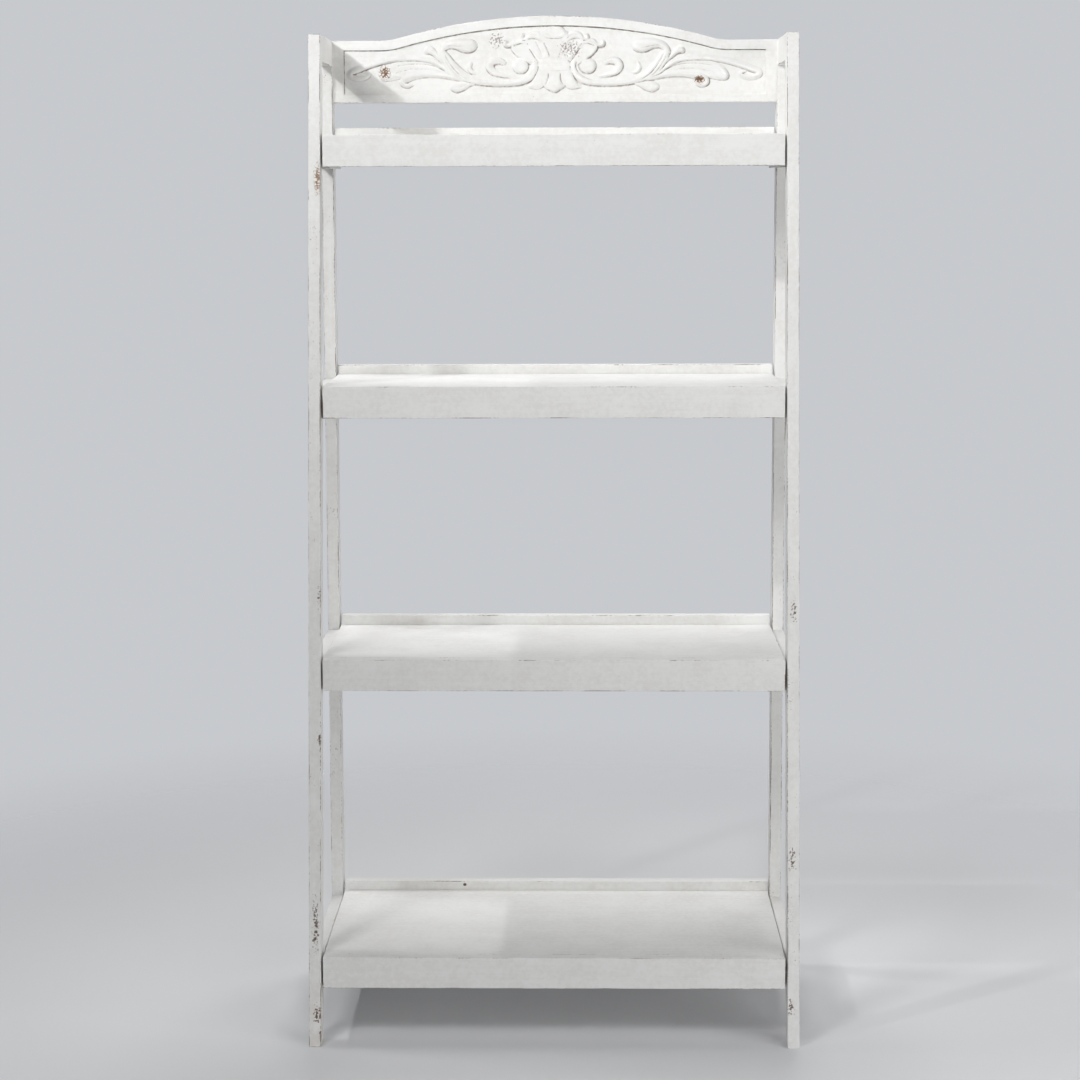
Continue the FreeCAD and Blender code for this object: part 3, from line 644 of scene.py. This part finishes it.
# The timbers
def finish_timber(piece, node, along, slope=0.0):
    """Round the arrises, make the faces a little uneven, and note where each point lies in the section."""
    ring_cuts(piece, along)
    places = vertex_places(piece)
    low, high = places.min(0), places.max(0)
    if slope:
        high[1] = low[1] + STILE_WIDTH
    modify(
        piece, "BEVEL", width=ARRIS, segments=ARRIS_SEGMENTS, profile=ARRIS_PROFILE,
        limit_method="ANGLE", angle_limit=math.radians(ROUNDED_ANGLE),
    )
    places = vertex_places(piece)
    offsets = places - (low + high) / 2
    offsets[:, 1] -= slope * places[:, 2]
    note_on_vertices(piece, "section", "FLOAT_VECTOR", offsets)
    note_on_vertices(piece, "half_size", "FLOAT_VECTOR", np.tile((high - low) / 2, (len(places), 1)))
    make_uneven(piece)
    shade_smoothly(piece, TIMBER_SHARP_ANGLE)
    modify(piece, "WEIGHTED_NORMAL", keep_sharp=True)
    piece.data.materials.append(PAINT_ALONG[along])
    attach(piece, "root")
    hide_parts(node)


def front_stile(side):
    """The leaning front stile."""
    name = f"{side}_front_stile"
    low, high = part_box(name)
    setback = high.y - low.y - STILE_WIDTH
    piece = block(f"painted_{name}", low, (high.x, low.y + STILE_WIDTH, high.z))
    slide(piece, lambda vertex: vertex.co.z > high.z / 2, (0, setback, 0))
    finish_timber(piece, name, "Z", slope=setback / high.z)


def rear_post(side):
    """The upright rear post."""
    straight_piece(f"{side}_rear_post", "Z")


def side_rail(side, rail):
    """A level rail between the stile and the post, its front end slanted like the stile's back."""
    name = f"{side}_{rail}_rail"
    low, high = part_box(name)
    stile_low, stile_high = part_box(f"{side}_front_stile")
    slope = (stile_high.y - stile_low.y - STILE_WIDTH) / stile_high.z
    front = stile_low.y + STILE_WIDTH + slope * low.z
    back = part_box(f"{side}_rear_post")[0].y
    piece = block(f"painted_{name}", (low.x, front, low.z), (high.x, back, high.z))
    middle_y, middle_z = (front + back) / 2, (low.z + high.z) / 2
    slide(
        piece, lambda vertex: vertex.co.y < middle_y and vertex.co.z > middle_z,
        (0, slope * (high.z - low.z), 0),
    )
    finish_timber(piece, name, "Y")


def straight_piece(name, along):
    """A squared piece that fills the whole box of its node."""
    low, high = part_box(name)
    piece = block(f"painted_{name}", low, high)
    finish_timber(piece, name, along)


for side in SIDES:
    front_stile(side)
    rear_post(side)
    for rail in RAILS:
        side_rail(side, rail)
for shelf in SHELVES:
    for part in ("board", "apron", "lip"):
        straight_piece(f"{shelf}_{part}", "X")
    for side in SIDES:
        straight_piece(f"{shelf}_{side}_cleat", "Y")

# The crown's outline in metres: the stub tenons, how far it stands behind the posts' fronts, the rise of its
# arch, and the length and the radius of the hollow at each shoulder
CROWN_STUB = 0.009
CROWN_SETBACK = 0.006
CROWN_RISE = 0.036
CROWN_SHOULDER = 0.073
CROWN_HOLLOW = 0.091

# The plain border and the sunk field inside it, in metres
BORDER_TOP = 0.014
BORDER_FOOT = 0.012
BORDER_END = 0.017
FIELD_DEPTH = 0.003
WALL_SLOPE = 0.0003

# The carving's full height and the walls of its strokes and grooves in metres, and how far a groove spreads
CARVING_HEIGHT = 0.0045
CARVING_WALL = 0.0014
GROOVE_WALL = 0.0004
GROOVE_SPREAD = 1.35

# The section of each kind of stroke: where its height starts and what it gains, as shares of the height, and
# the share of half a turn that a rim takes
ROUND_SHARES = (0.35, 0.65)
DISH_SHARES = (0.55, 0.30)
PETAL_SHARES = (0.62, 0.38)
RIM_SHARES = (0.3, 0.7)
RIM_TURN_SHARE = 0.72

# The grid of points over the field, and the steps between two points of a stroke
FIELD_COLUMNS = 690
FIELD_ROWS = 95
LINE_STEPS = 12

# The crown's arrises: how far beside them the faces have a row of points, in metres, and where the middle
# row of a rounded arris lies, as a share of its width
BESIDE_ARRIS = 0.004
SOFTENED_SHARE = 0.3

# Least values, which keep a division from failing
LEAST_SQUARE = 1e-12
LEAST_BREADTH = 1e-4
LEAST_SLOPE = 1e-6

# How dust and painted shade lie in the hollows: how far they reach from a stroke in rows of the grid, how
# much more painted shade lies under a stroke and on its right, and the depth past which there is no more, as
# shares
HOLLOW_REACH = 3
DUST_AND_SHADE_UNDER_SHARE = 0.55
DEEPEST_DUST_AND_SHADE_SHARE = 0.07

# The painted shadow line under the arch: how deep the paint takes it to be, as a share, and its breadth in
# rows of the grid
PAINTED_ARCH_SHADOW_SHARE = 0.11
PAINTED_ARCH_SHADOW_ROWS = 2

# The carving's strokes on the right half, which the left half mirrors, read from the photograph. Each
# has its cross-section and the points of its middle line: across as a share of the crown's half length, up
# and half breadth as shares of the crown's height, and how far it stands proud as a share of the carving's
# full height
STROKE_SHARES = {
    "scroll": ("round", [
        (0.090, 0.477, 0.020, 0.44), (0.089, 0.430, 0.035, 0.71), (0.093, 0.367, 0.041, 0.80),
        (0.108, 0.309, 0.041, 0.80), (0.134, 0.262, 0.035, 0.78), (0.171, 0.234, 0.030, 0.73),
        (0.232, 0.222, 0.026, 0.71), (0.306, 0.231, 0.027, 0.73), (0.369, 0.262, 0.033, 0.78),
        (0.415, 0.316, 0.048, 0.87), (0.457, 0.402, 0.057, 0.93), (0.488, 0.501, 0.053, 0.93),
        (0.504, 0.579, 0.033, 0.84), (0.501, 0.636, 0.022, 0.71),
    ]),
    "eye": ("ball", [
        (0.149, 0.422, 0.075, 0.96), (0.155, 0.422, 0.075, 0.96),
    ]),
    "second_curl": ("rim_right", [
        (0.200, 0.305, 0.005, 0.27), (0.243, 0.325, 0.016, 0.58), (0.276, 0.361, 0.029, 0.76),
        (0.290, 0.420, 0.037, 0.89), (0.278, 0.471, 0.033, 0.89), (0.251, 0.481, 0.027, 0.80),
        (0.229, 0.460, 0.016, 0.58),
    ]),
    "sprig": ("round", [
        (0.352, 0.345, 0.005, 0.27), (0.373, 0.364, 0.015, 0.53), (0.382, 0.409, 0.016, 0.62),
        (0.375, 0.460, 0.009, 0.40),
    ]),
    "leaf_head": ("round", [
        (0.362, 0.662, 0.029, 0.71), (0.377, 0.656, 0.062, 0.96), (0.402, 0.658, 0.069, 1.00),
        (0.439, 0.678, 0.051, 0.93), (0.474, 0.671, 0.038, 0.89), (0.499, 0.633, 0.029, 0.84),
        (0.511, 0.575, 0.024, 0.80),
    ]),
    "bud_stalk": ("round", [
        (0.446, 0.339, 0.005, 0.22), (0.485, 0.429, 0.009, 0.40), (0.520, 0.517, 0.015, 0.53),
        (0.544, 0.582, 0.026, 0.67), (0.563, 0.611, 0.037, 0.76), (0.574, 0.597, 0.024, 0.67),
    ]),
    "leaf_blade": ("dish", [
        (0.418, 0.265, 0.007, 0.22), (0.467, 0.334, 0.033, 0.31), (0.523, 0.391, 0.066, 0.40),
        (0.579, 0.420, 0.088, 0.44), (0.643, 0.417, 0.095, 0.44), (0.699, 0.381, 0.091, 0.44),
        (0.737, 0.345, 0.077, 0.44), (0.762, 0.308, 0.048, 0.42),
    ]),
    "leaf_rib": ("rim_right", [
        (0.425, 0.276, 0.005, 0.27), (0.464, 0.339, 0.013, 0.49), (0.502, 0.417, 0.018, 0.62),
        (0.537, 0.471, 0.022, 0.71), (0.579, 0.505, 0.022, 0.76), (0.636, 0.517, 0.022, 0.78),
        (0.706, 0.510, 0.024, 0.78), (0.776, 0.481, 0.027, 0.80), (0.839, 0.435, 0.031, 0.84),
        (0.881, 0.395, 0.031, 0.87), (0.914, 0.359, 0.027, 0.87), (0.921, 0.319, 0.024, 0.82),
        (0.901, 0.290, 0.022, 0.76), (0.871, 0.283, 0.020, 0.69), (0.843, 0.303, 0.016, 0.60),
        (0.836, 0.339, 0.013, 0.51), (0.857, 0.363, 0.007, 0.36),
    ]),
    "lower_rib": ("rim_left", [
        (0.411, 0.254, 0.005, 0.31), (0.453, 0.283, 0.013, 0.53), (0.495, 0.305, 0.016, 0.62),
        (0.544, 0.319, 0.018, 0.67), (0.593, 0.319, 0.022, 0.76), (0.636, 0.305, 0.031, 0.84),
        (0.671, 0.272, 0.035, 0.89), (0.681, 0.229, 0.027, 0.80), (0.662, 0.200, 0.018, 0.62),
        (0.641, 0.215, 0.009, 0.40),
    ]),
    "tooth": ("round", [
        (0.692, 0.308, 0.015, 0.49), (0.730, 0.312, 0.026, 0.62), (0.762, 0.290, 0.029, 0.71),
        (0.773, 0.305, 0.022, 0.69), (0.763, 0.363, 0.013, 0.58), (0.742, 0.409, 0.007, 0.40),
        (0.727, 0.435, 0.005, 0.27),
    ]),
    "small_leaf": ("round", [
        (0.355, 0.222, 0.005, 0.22), (0.386, 0.215, 0.022, 0.49), (0.415, 0.193, 0.044, 0.71),
        (0.439, 0.179, 0.049, 0.84), (0.455, 0.179, 0.033, 0.76),
    ]),
    "body": ("round", [
        (0.000, 0.547, 0.117, 0.49), (0.000, 0.469, 0.156, 0.76), (0.000, 0.406, 0.180, 0.89),
        (0.000, 0.344, 0.172, 0.84), (0.000, 0.297, 0.156, 0.71),
    ]),
    "petal_1": ("petal", [
        (0.000, 0.531, 0.070, 0.53), (0.000, 0.594, 0.094, 0.64), (0.000, 0.672, 0.125, 0.76),
        (0.000, 0.734, 0.145, 0.84),
    ]),
    "petal_2": ("petal", [
        (0.033, 0.500, 0.055, 0.44), (0.051, 0.578, 0.074, 0.58), (0.072, 0.656, 0.094, 0.71),
        (0.090, 0.711, 0.102, 0.80),
    ]),
    "petal_3": ("petal", [
        (0.075, 0.469, 0.047, 0.40), (0.105, 0.531, 0.070, 0.53), (0.138, 0.602, 0.086, 0.62),
        (0.159, 0.648, 0.082, 0.71),
    ]),
    "lip_1": ("round", [
        (0.000, 0.758, 0.013, 0.89), (0.021, 0.761, 0.013, 0.91), (0.038, 0.773, 0.016, 0.96),
        (0.050, 0.797, 0.017, 0.96), (0.059, 0.773, 0.017, 0.91), (0.058, 0.750, 0.011, 0.76),
    ]),
    "lip_2": ("round", [
        (0.045, 0.656, 0.008, 0.67), (0.051, 0.703, 0.012, 0.80), (0.069, 0.741, 0.014, 0.91),
        (0.096, 0.762, 0.016, 0.96), (0.117, 0.752, 0.015, 0.93), (0.134, 0.734, 0.016, 0.93),
        (0.147, 0.746, 0.019, 0.93), (0.144, 0.773, 0.016, 0.84),
    ]),
    "lip_3": ("round", [
        (0.120, 0.694, 0.009, 0.71), (0.135, 0.702, 0.013, 0.84), (0.156, 0.700, 0.015, 0.91),
        (0.177, 0.684, 0.016, 0.93), (0.197, 0.664, 0.017, 0.93), (0.216, 0.669, 0.020, 0.91),
        (0.218, 0.695, 0.015, 0.80),
    ]),
    "lobe": ("round", [
        (0.000, 0.344, 0.062, 0.67), (0.000, 0.297, 0.070, 0.84), (0.000, 0.242, 0.090, 0.93),
        (0.000, 0.211, 0.082, 0.89),
    ]),
    "side_lobe": ("rim_left", [
        (0.045, 0.359, 0.062, 0.62), (0.057, 0.297, 0.074, 0.76), (0.072, 0.234, 0.062, 0.80),
        (0.093, 0.199, 0.031, 0.67), (0.116, 0.186, 0.008, 0.36),
    ]),
}

# Lines cut into the strokes, each point as above with the depth of the cut in place of the height
GROOVE_SHARES = {
    "scroll_line": [
        (0.099, 0.469, 0.004, 0.22), (0.096, 0.422, 0.007, 0.40), (0.102, 0.371, 0.008, 0.44),
        (0.119, 0.320, 0.008, 0.44), (0.144, 0.280, 0.008, 0.44), (0.174, 0.258, 0.008, 0.42),
        (0.232, 0.242, 0.007, 0.42), (0.306, 0.254, 0.007, 0.40), (0.365, 0.283, 0.007, 0.36),
        (0.400, 0.327, 0.007, 0.27), (0.431, 0.399, 0.005, 0.13),
    ],
    "stem_1": [
        (0.383, 0.254, 0.005, 0.18), (0.425, 0.321, 0.007, 0.29), (0.457, 0.406, 0.009, 0.36),
        (0.483, 0.507, 0.009, 0.33), (0.495, 0.579, 0.005, 0.20),
    ],
    "stem_2": [
        (0.411, 0.269, 0.005, 0.18), (0.448, 0.334, 0.007, 0.27), (0.480, 0.435, 0.007, 0.29),
        (0.501, 0.528, 0.005, 0.22),
    ],
    "head_line": [
        (0.391, 0.626, 0.007, 0.11), (0.432, 0.651, 0.007, 0.20), (0.471, 0.658, 0.007, 0.22),
        (0.495, 0.622, 0.007, 0.20),
    ],
    "blade_1": [
        (0.495, 0.370, 0.005, 0.11), (0.558, 0.435, 0.007, 0.18), (0.636, 0.449, 0.007, 0.18),
        (0.706, 0.424, 0.007, 0.13),
    ],
    "blade_2": [
        (0.509, 0.352, 0.005, 0.11), (0.579, 0.388, 0.007, 0.18), (0.650, 0.384, 0.007, 0.18),
        (0.713, 0.345, 0.007, 0.13),
    ],
    "lobe_side": [
        (0.027, 0.336, 0.005, 0.22), (0.027, 0.297, 0.008, 0.40), (0.030, 0.250, 0.008, 0.36),
        (0.039, 0.215, 0.006, 0.27),
    ],
    "lobe_flare": [
        (0.069, 0.383, 0.005, 0.18), (0.083, 0.320, 0.007, 0.36), (0.092, 0.266, 0.007, 0.36),
        (0.104, 0.219, 0.005, 0.22),
    ],
    "fan_1": [
        (0.021, 0.516, 0.004, 0.18), (0.030, 0.594, 0.007, 0.29), (0.048, 0.688, 0.007, 0.29),
    ],
    "fan_2": [
        (0.072, 0.469, 0.004, 0.16), (0.095, 0.547, 0.007, 0.27), (0.123, 0.680, 0.007, 0.27),
    ],
    "petal_vein": [
        (0.051, 0.531, 0.004, 0.09), (0.066, 0.609, 0.007, 0.16), (0.084, 0.703, 0.006, 0.11),
    ],
    "waist": [
        (0.000, 0.535, 0.006, 0.20), (0.024, 0.527, 0.006, 0.20), (0.054, 0.492, 0.006, 0.18),
        (0.081, 0.445, 0.005, 0.09),
    ],
    "waist_line": [
        (0.000, 0.367, 0.009, 0.13), (0.030, 0.367, 0.009, 0.13), (0.060, 0.375, 0.008, 0.09),
    ],
    "small_line": [
        (0.383, 0.208, 0.004, 0.09), (0.418, 0.190, 0.005, 0.18), (0.446, 0.175, 0.005, 0.13),
    ],
}


def smooth_line(points):
    """A smooth line through the points of a stroke, with its half breadth and height."""
    points = np.array(points, float)
    points = np.vstack([2 * points[0] - points[1], points, 2 * points[-1] - points[-2]])
    share = np.linspace(0, 1, LINE_STEPS, endpoint=False)[:, None]
    runs = []
    for before, start, end, after in zip(points, points[1:], points[2:], points[3:]):
        slope = end - before
        bend = 2 * before - 5 * start + 4 * end - after
        twist = 3 * start - before - 3 * end + after
        runs.append(start + (slope * share + bend * share**2 + twist * share**3) / 2)
    runs.append(points[-2][None])
    return np.vstack(runs)


def near_line(line, across, up, reach):
    """Which grid points a line reaches, and their side, distance, half breadth and height on it."""
    margin = line[:, 2].max() + reach
    low, high = line[:, :2].min(0) - margin, line[:, :2].max(0) + margin
    reached = (across >= low[0]) & (across <= high[0]) & (up >= low[1]) & (up <= high[1])
    x, z = across[reached][:, None], up[reached][:, None]
    start, run = line[:-1], np.diff(line, axis=0)
    square = (run[:, :2] ** 2).sum(1) + LEAST_SQUARE
    share = np.clip(((x - start[:, 0]) * run[:, 0] + (z - start[:, 1]) * run[:, 1]) / square, 0, 1)
    away_x = x - start[:, 0] - share * run[:, 0]
    away_z = z - start[:, 1] - share * run[:, 1]
    distance = np.hypot(away_x, away_z)
    breadth = np.maximum(start[:, 2] + share * run[:, 2], LEAST_BREADTH)
    nearest = (distance / breadth).argmin(1)
    rows = np.arange(len(x))
    side = np.sign(run[nearest, 0] * away_z[rows, nearest] - run[nearest, 1] * away_x[rows, nearest])
    height = start[nearest, 3] + share[rows, nearest] * run[nearest, 3]
    return reached, side, distance[rows, nearest], breadth[rows, nearest], height


def stroke_section(kind, place):
    """The height across a stroke, as a share, from its place between one edge (-1) and the other (1)."""
    out = np.clip(np.abs(place), 0, 1)
    if kind in ("round", "ball"):
        start, gain = ROUND_SHARES
        return start + gain * np.sqrt(1 - out**2)
    if kind in ("dish", "petal"):
        start, gain = DISH_SHARES if kind == "dish" else PETAL_SHARES
        return start + gain * out**2
    start, gain = RIM_SHARES
    toward = place if kind == "rim_left" else -place
    return start + gain * np.sin(np.clip((1 + toward) / 2, 0, 1) * math.pi * RIM_TURN_SHARE)


def eased(share):
    """A share between 0 and 1 with soft ends."""
    share = np.clip(share, 0, 1)
    return share * share * (3 - 2 * share)


def blurred(grid, rounds):
    """A grid averaged with its neighbours a number of times."""
    for _ in range(rounds):
        wide = np.pad(grid, 1, mode="edge")
        grid = (wide[:-2] + 2 * wide[1:-1] + wide[2:])[:, 1:-1] / 4
        wide = np.pad(grid, 1, mode="edge")
        grid = (wide[:, :-2] + 2 * wide[:, 1:-1] + wide[:, 2:])[1:-1] / 4
    return grid


def carving(across, up, half_length, height):
    """How far the carving stands out of the field at each point of a grid."""
    proud = np.zeros_like(across)
    across = np.abs(across)
    scale = (half_length, height, height, CARVING_HEIGHT)
    for kind, points in STROKE_SHARES.values():
        line = smooth_line(np.array(points) * scale)
        reached, side, distance, breadth, tall = near_line(line, across, up, CARVING_WALL)
        wall = eased((breadth + CARVING_WALL - distance) / CARVING_WALL)
        stroke = tall * stroke_section(kind, side * distance / breadth) * wall
        proud[reached] = np.maximum(proud[reached], stroke)
    for points in GROOVE_SHARES.values():
        line = smooth_line(np.array(points) * scale)
        reached, _, distance, breadth, deep = near_line(line, across, up, GROOVE_WALL)
        cut = deep * eased((GROOVE_SPREAD * breadth + GROOVE_WALL - distance) / (breadth + GROOVE_WALL))
        proud[reached] = np.maximum(proud[reached] - cut, 0)
    return blurred(proud, 1)


def crown_line(across, height, half_length, margin=0.0):
    """The arched upper line of the crown, or of its field where a margin is given."""
    level = height - CROWN_RISE - margin
    half = half_length - CROWN_SHOULDER
    hollow = CROWN_HOLLOW + margin
    both = (half**2 + CROWN_RISE**2) / (2 * CROWN_RISE)
    crest = both - hollow
    across = np.abs(across)
    arch = level + CROWN_RISE - crest + np.sqrt(np.maximum(crest**2 - across**2, 0))
    dip = level + hollow - np.sqrt(np.maximum(hollow**2 - (across - half) ** 2, 0))
    return np.where(across < half * crest / both, arch, np.where(across < half, dip, level))


def crown_field(half_length, height):
    """The grid over the field: its places across and up, its depth, and which columns are the border's."""
    field_half = half_length - BORDER_END
    ends = np.array([half_length, half_length - BORDER_END / 2, field_half + WALL_SLOPE])
    across = np.concatenate([-ends, np.linspace(-field_half, field_half, FIELD_COLUMNS), ends[::-1]])
    foot = np.full_like(across, BORDER_FOOT + WALL_SLOPE)
    head = crown_line(across, height, half_length, BORDER_TOP) - WALL_SLOPE
    up = foot[:, None] + (head - foot)[:, None] * np.linspace(0, 1, FIELD_ROWS)
    proud = carving(np.repeat(across[:, None], FIELD_ROWS, 1), up, half_length, height)
    border = np.abs(across)[:, None] > field_half + WALL_SLOPE / 2
    return across, up, np.where(border, 0.0, FIELD_DEPTH - proud), border


def crown_edges(front, back, top, field_top):
    """The crown's plain rows before and after the field, each as its place in depth and its height."""
    soft = ARRIS * SOFTENED_SHARE
    beside = ARRIS + BESIDE_ARRIS
    before = [
        (back - ARRIS, 0), (back - beside, 0), (front + beside, 0), (front + ARRIS, 0),
        (front + soft, soft), (front, ARRIS), (front, BORDER_FOOT),
    ]
    after = [
        (front, field_top), (front, top - ARRIS), (front + soft, top - soft), (front + ARRIS, top),
        (front + beside, top), (back - beside, top), (back - ARRIS, top), (back - soft, top - soft),
        (back, top - ARRIS), (back, top - beside), (back, beside), (back, ARRIS), (back - soft, soft),
    ]
    return before, after


def closed_piece(name, rings):
    """A closed piece from rings of points, one after another along it."""
    count, ring = rings.shape[:2]
    index = np.arange(count * ring).reshape(count, ring)
    here, there = index[:-1], index[1:]
    quads = np.stack([here, there, np.roll(there, -1, 1), np.roll(here, -1, 1)], 2).reshape(-1, 4)
    faces = quads.tolist() + [index[0].tolist(), index[-1][::-1].tolist()]
    mesh = bpy.data.meshes.new(name)
    mesh.from_pydata(rings.reshape(-1, 3).tolist(), [], faces)
    piece = bpy.data.objects.new(name, mesh)
    bpy.context.scene.collection.objects.link(piece)
    return piece


def field_dust_and_shade(depth, border):
    """Dust and painted shade in the field: how deep each point lies among the carving, more under a stroke
    and right of it.
    """
    level = np.pad(-depth, ((0, 0), (HOLLOW_REACH, HOLLOW_REACH)))
    around = blurred(level, HOLLOW_REACH)
    to_right, to_top = np.gradient(around)
    # Painted shade: more on the side of a stroke that faces away from the upper-left light, under it and on
    # its right
    shade_side = (to_top - to_right) / (np.hypot(to_top, to_right) + LEAST_SLOPE)
    deep = np.minimum((around - level) / CARVING_HEIGHT, DEEPEST_DUST_AND_SHADE_SHARE)
    deep = (deep * (1 + DUST_AND_SHADE_UNDER_SHARE * shade_side))[:, HOLLOW_REACH:-HOLLOW_REACH]
    # The top rows of the field, under the arch, take the painted shadow line
    deep[:, -PAINTED_ARCH_SHADOW_ROWS:] = np.where(border, deep[:, -PAINTED_ARCH_SHADOW_ROWS:], PAINTED_ARCH_SHADOW_SHARE)
    return deep


def carved_crown():
    """The crown between the posts, its carved field sunk inside a plain border."""
    low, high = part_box("crown_panel")
    half_length, height = high.x - CROWN_STUB, high.z - low.z
    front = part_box("left_rear_post")[0].y + CROWN_SETBACK
    back = high.y
    across, up, depth, border = crown_field(half_length, height)
    top = crown_line(across, height, half_length)
    field_top = crown_line(across, height, half_length, BORDER_TOP)
    before, after = crown_edges(front, back, top, field_top)
    flat = np.zeros_like(across)
    rows = [np.stack([across, flat + y, flat + z], 1) for y, z in before]
    rows += [np.stack([across, front + depth[:, row], up[:, row]], 1) for row in range(FIELD_ROWS)]
    rows += [np.stack([across, flat + y, flat + z], 1) for y, z in after]
    places = np.stack(rows, 1) + (0, 0, low.z)
    piece = closed_piece("painted_crown_panel", places)

    # What the paint reads: how far each point is from an arris, and how deep it lies among the carving, for
    # its dust and painted shade
    from_faces = np.minimum(places[:, :, 1] - front, back - places[:, :, 1])
    from_edges = np.minimum(places[:, :, 2] - low.z, top[:, None] - (places[:, :, 2] - low.z))
    note_on_vertices(piece, "arris_distance", "FLOAT", np.maximum(from_faces, from_edges))
    hollow = np.zeros(places.shape[:2])
    hollow[:, len(before):len(before) + FIELD_ROWS] = field_dust_and_shade(depth, border)
    note_on_vertices(piece, "hollow", "FLOAT", hollow)

    make_uneven(piece)
    shade_smoothly(piece, CROWN_SHARP_ANGLE)
    piece.data.materials.append(PAINT_CARVED)
    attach(piece, "root")
    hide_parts("crown_panel")


carved_crown()

# The screws keep their own mesh
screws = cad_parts["tray_screws"]
screws.data.materials.clear()
screws.data.materials.append(zinc_material())

# The floor, which fades into the background between two distances from the stand, in metres
FLOOR_COLOUR = (0.80, 0.805, 0.82, 1)
FLOOR_ROUGHNESS = 0.85
FLOOR_LIMITS = (0.7, 1.9)
FLOOR_SIZE = 8.0


def floor_material():
    """Pale floor that keeps the shadow near the stand and fades into the background further out."""
    material, tree, shader, place = new_material("pale_floor")
    shader.inputs["Base Color"].default_value = FLOOR_COLOUR
    shader.inputs["Roughness"].default_value = FLOOR_ROUGHNESS
    fade = step_between(tree, length_of(tree, place), *FLOOR_LIMITS)
    clear = add_node(tree, "ShaderNodeBsdfTransparent")
    mixer = add_node(tree, "ShaderNodeMixShader", {0: fade, 1: shader.outputs[0], 2: clear.outputs[0]})
    tree.links.new(mixer.outputs[0], tree.nodes["Material Output"].inputs["Surface"])
    return material


clear_selection()
bpy.ops.mesh.primitive_plane_add(size=FLOOR_SIZE, location=(0, 0, 0))
floor = bpy.context.object
floor.name = "floor"
floor.data.materials.append(floor_material())

# The background that the camera sees, and the light that the world gives
BACKGROUND = (0.57, 0.585, 0.612, 1)
WORLD_LIGHT = (0.92, 0.95, 1.0, 1)
WORLD_STRENGTH = 0.06


def studio_world():
    """A plain background for what is seen, mirrored or seen through, and faint light for the rest."""
    world = bpy.data.worlds.new("studio")
    world.use_nodes = True
    tree = world.node_tree
    tree.nodes.clear()
    ray = add_node(tree, "ShaderNodeLightPath")
    seen = larger(tree, ray.outputs["Is Camera Ray"], ray.outputs["Is Glossy Ray"])
    seen = larger(tree, seen, ray.outputs["Is Transmission Ray"])
    light = add_node(tree, "ShaderNodeBackground", {"Color": WORLD_LIGHT, "Strength": WORLD_STRENGTH})
    shown = add_node(tree, "ShaderNodeBackground", {"Color": BACKGROUND, "Strength": 1.0})
    both = add_node(tree, "ShaderNodeMixShader", {0: seen, 1: light.outputs[0], 2: shown.outputs[0]})
    add_node(tree, "ShaderNodeOutputWorld", {"Surface": both.outputs[0]})
    return world


bpy.context.scene.world = studio_world()

# The lamps: place, the point that it faces, width and height in metres, power in watts, and beam in degrees
LAMPS = {
    "key_lamp": ((-1.63, -1.35, 2.5), (0.42, 0.15, 1.52), (0.07, 0.07), 3.7, 56),
    "side_lamp": ((-2.2, 0.42, 3.05), (0.1, 0.1, 0.2), (0.65, 0.07), 1.75, 50),
    "front_lamp": ((-1.4, -2.3, 2.6), (0.1, 0, 1.1), (0.7, 0.7), 27, 180),
    "bounce_lamp": ((1.9, -1.8, 1.2), (0, 0, 0.9), (2.2, 2.2), 34, 180),
    "high_lamp": ((0.5, -1.9, 3.0), (0.1, 0, 1.1), (1.2, 1.2), 5, 180),
    "back_lamp": ((0.2, 1.6, 3.0), (0.1, 0, 0.9), (1.6, 1.6), 42, 180),
}


def lamp(name, place, target, size, power, beam):
    """A flat lamp that faces a point."""
    light = bpy.data.lights.new(name, "AREA")
    light.shape = "RECTANGLE"
    light.size, light.size_y = size
    light.energy = power
    light.spread = math.radians(beam)
    holder = bpy.data.objects.new(name, light)
    bpy.context.scene.collection.objects.link(holder)
    holder.location = place
    holder.rotation_euler = (Vector(target) - Vector(place)).to_track_quat("-Z", "Y").to_euler()


for name, values in LAMPS.items():
    lamp(name, *values)

# The camera of the photograph, found from the converging lines of the stand. Its place is in metres and its
# angles are in radians
CAMERA_PLACE = (0.0355, -3.4168, 1.2215)
CAMERA_PITCH = 0.1235
CAMERA_YAW = 0.0161
CAMERA_ROLL = 0.0027
CAMERA_LENS = 78.44
CAMERA_SHIFT = -0.0578

camera = bpy.data.objects.new("camera", bpy.data.cameras.new("camera"))
bpy.context.scene.collection.objects.link(camera)
camera.location = CAMERA_PLACE
camera.rotation_euler = (math.pi / 2 - CAMERA_PITCH, CAMERA_ROLL, CAMERA_YAW)
camera.data.lens = CAMERA_LENS
camera.data.shift_y = CAMERA_SHIFT
bpy.context.scene.camera = camera
bpy.context.scene.view_settings.view_transform = "Standard"
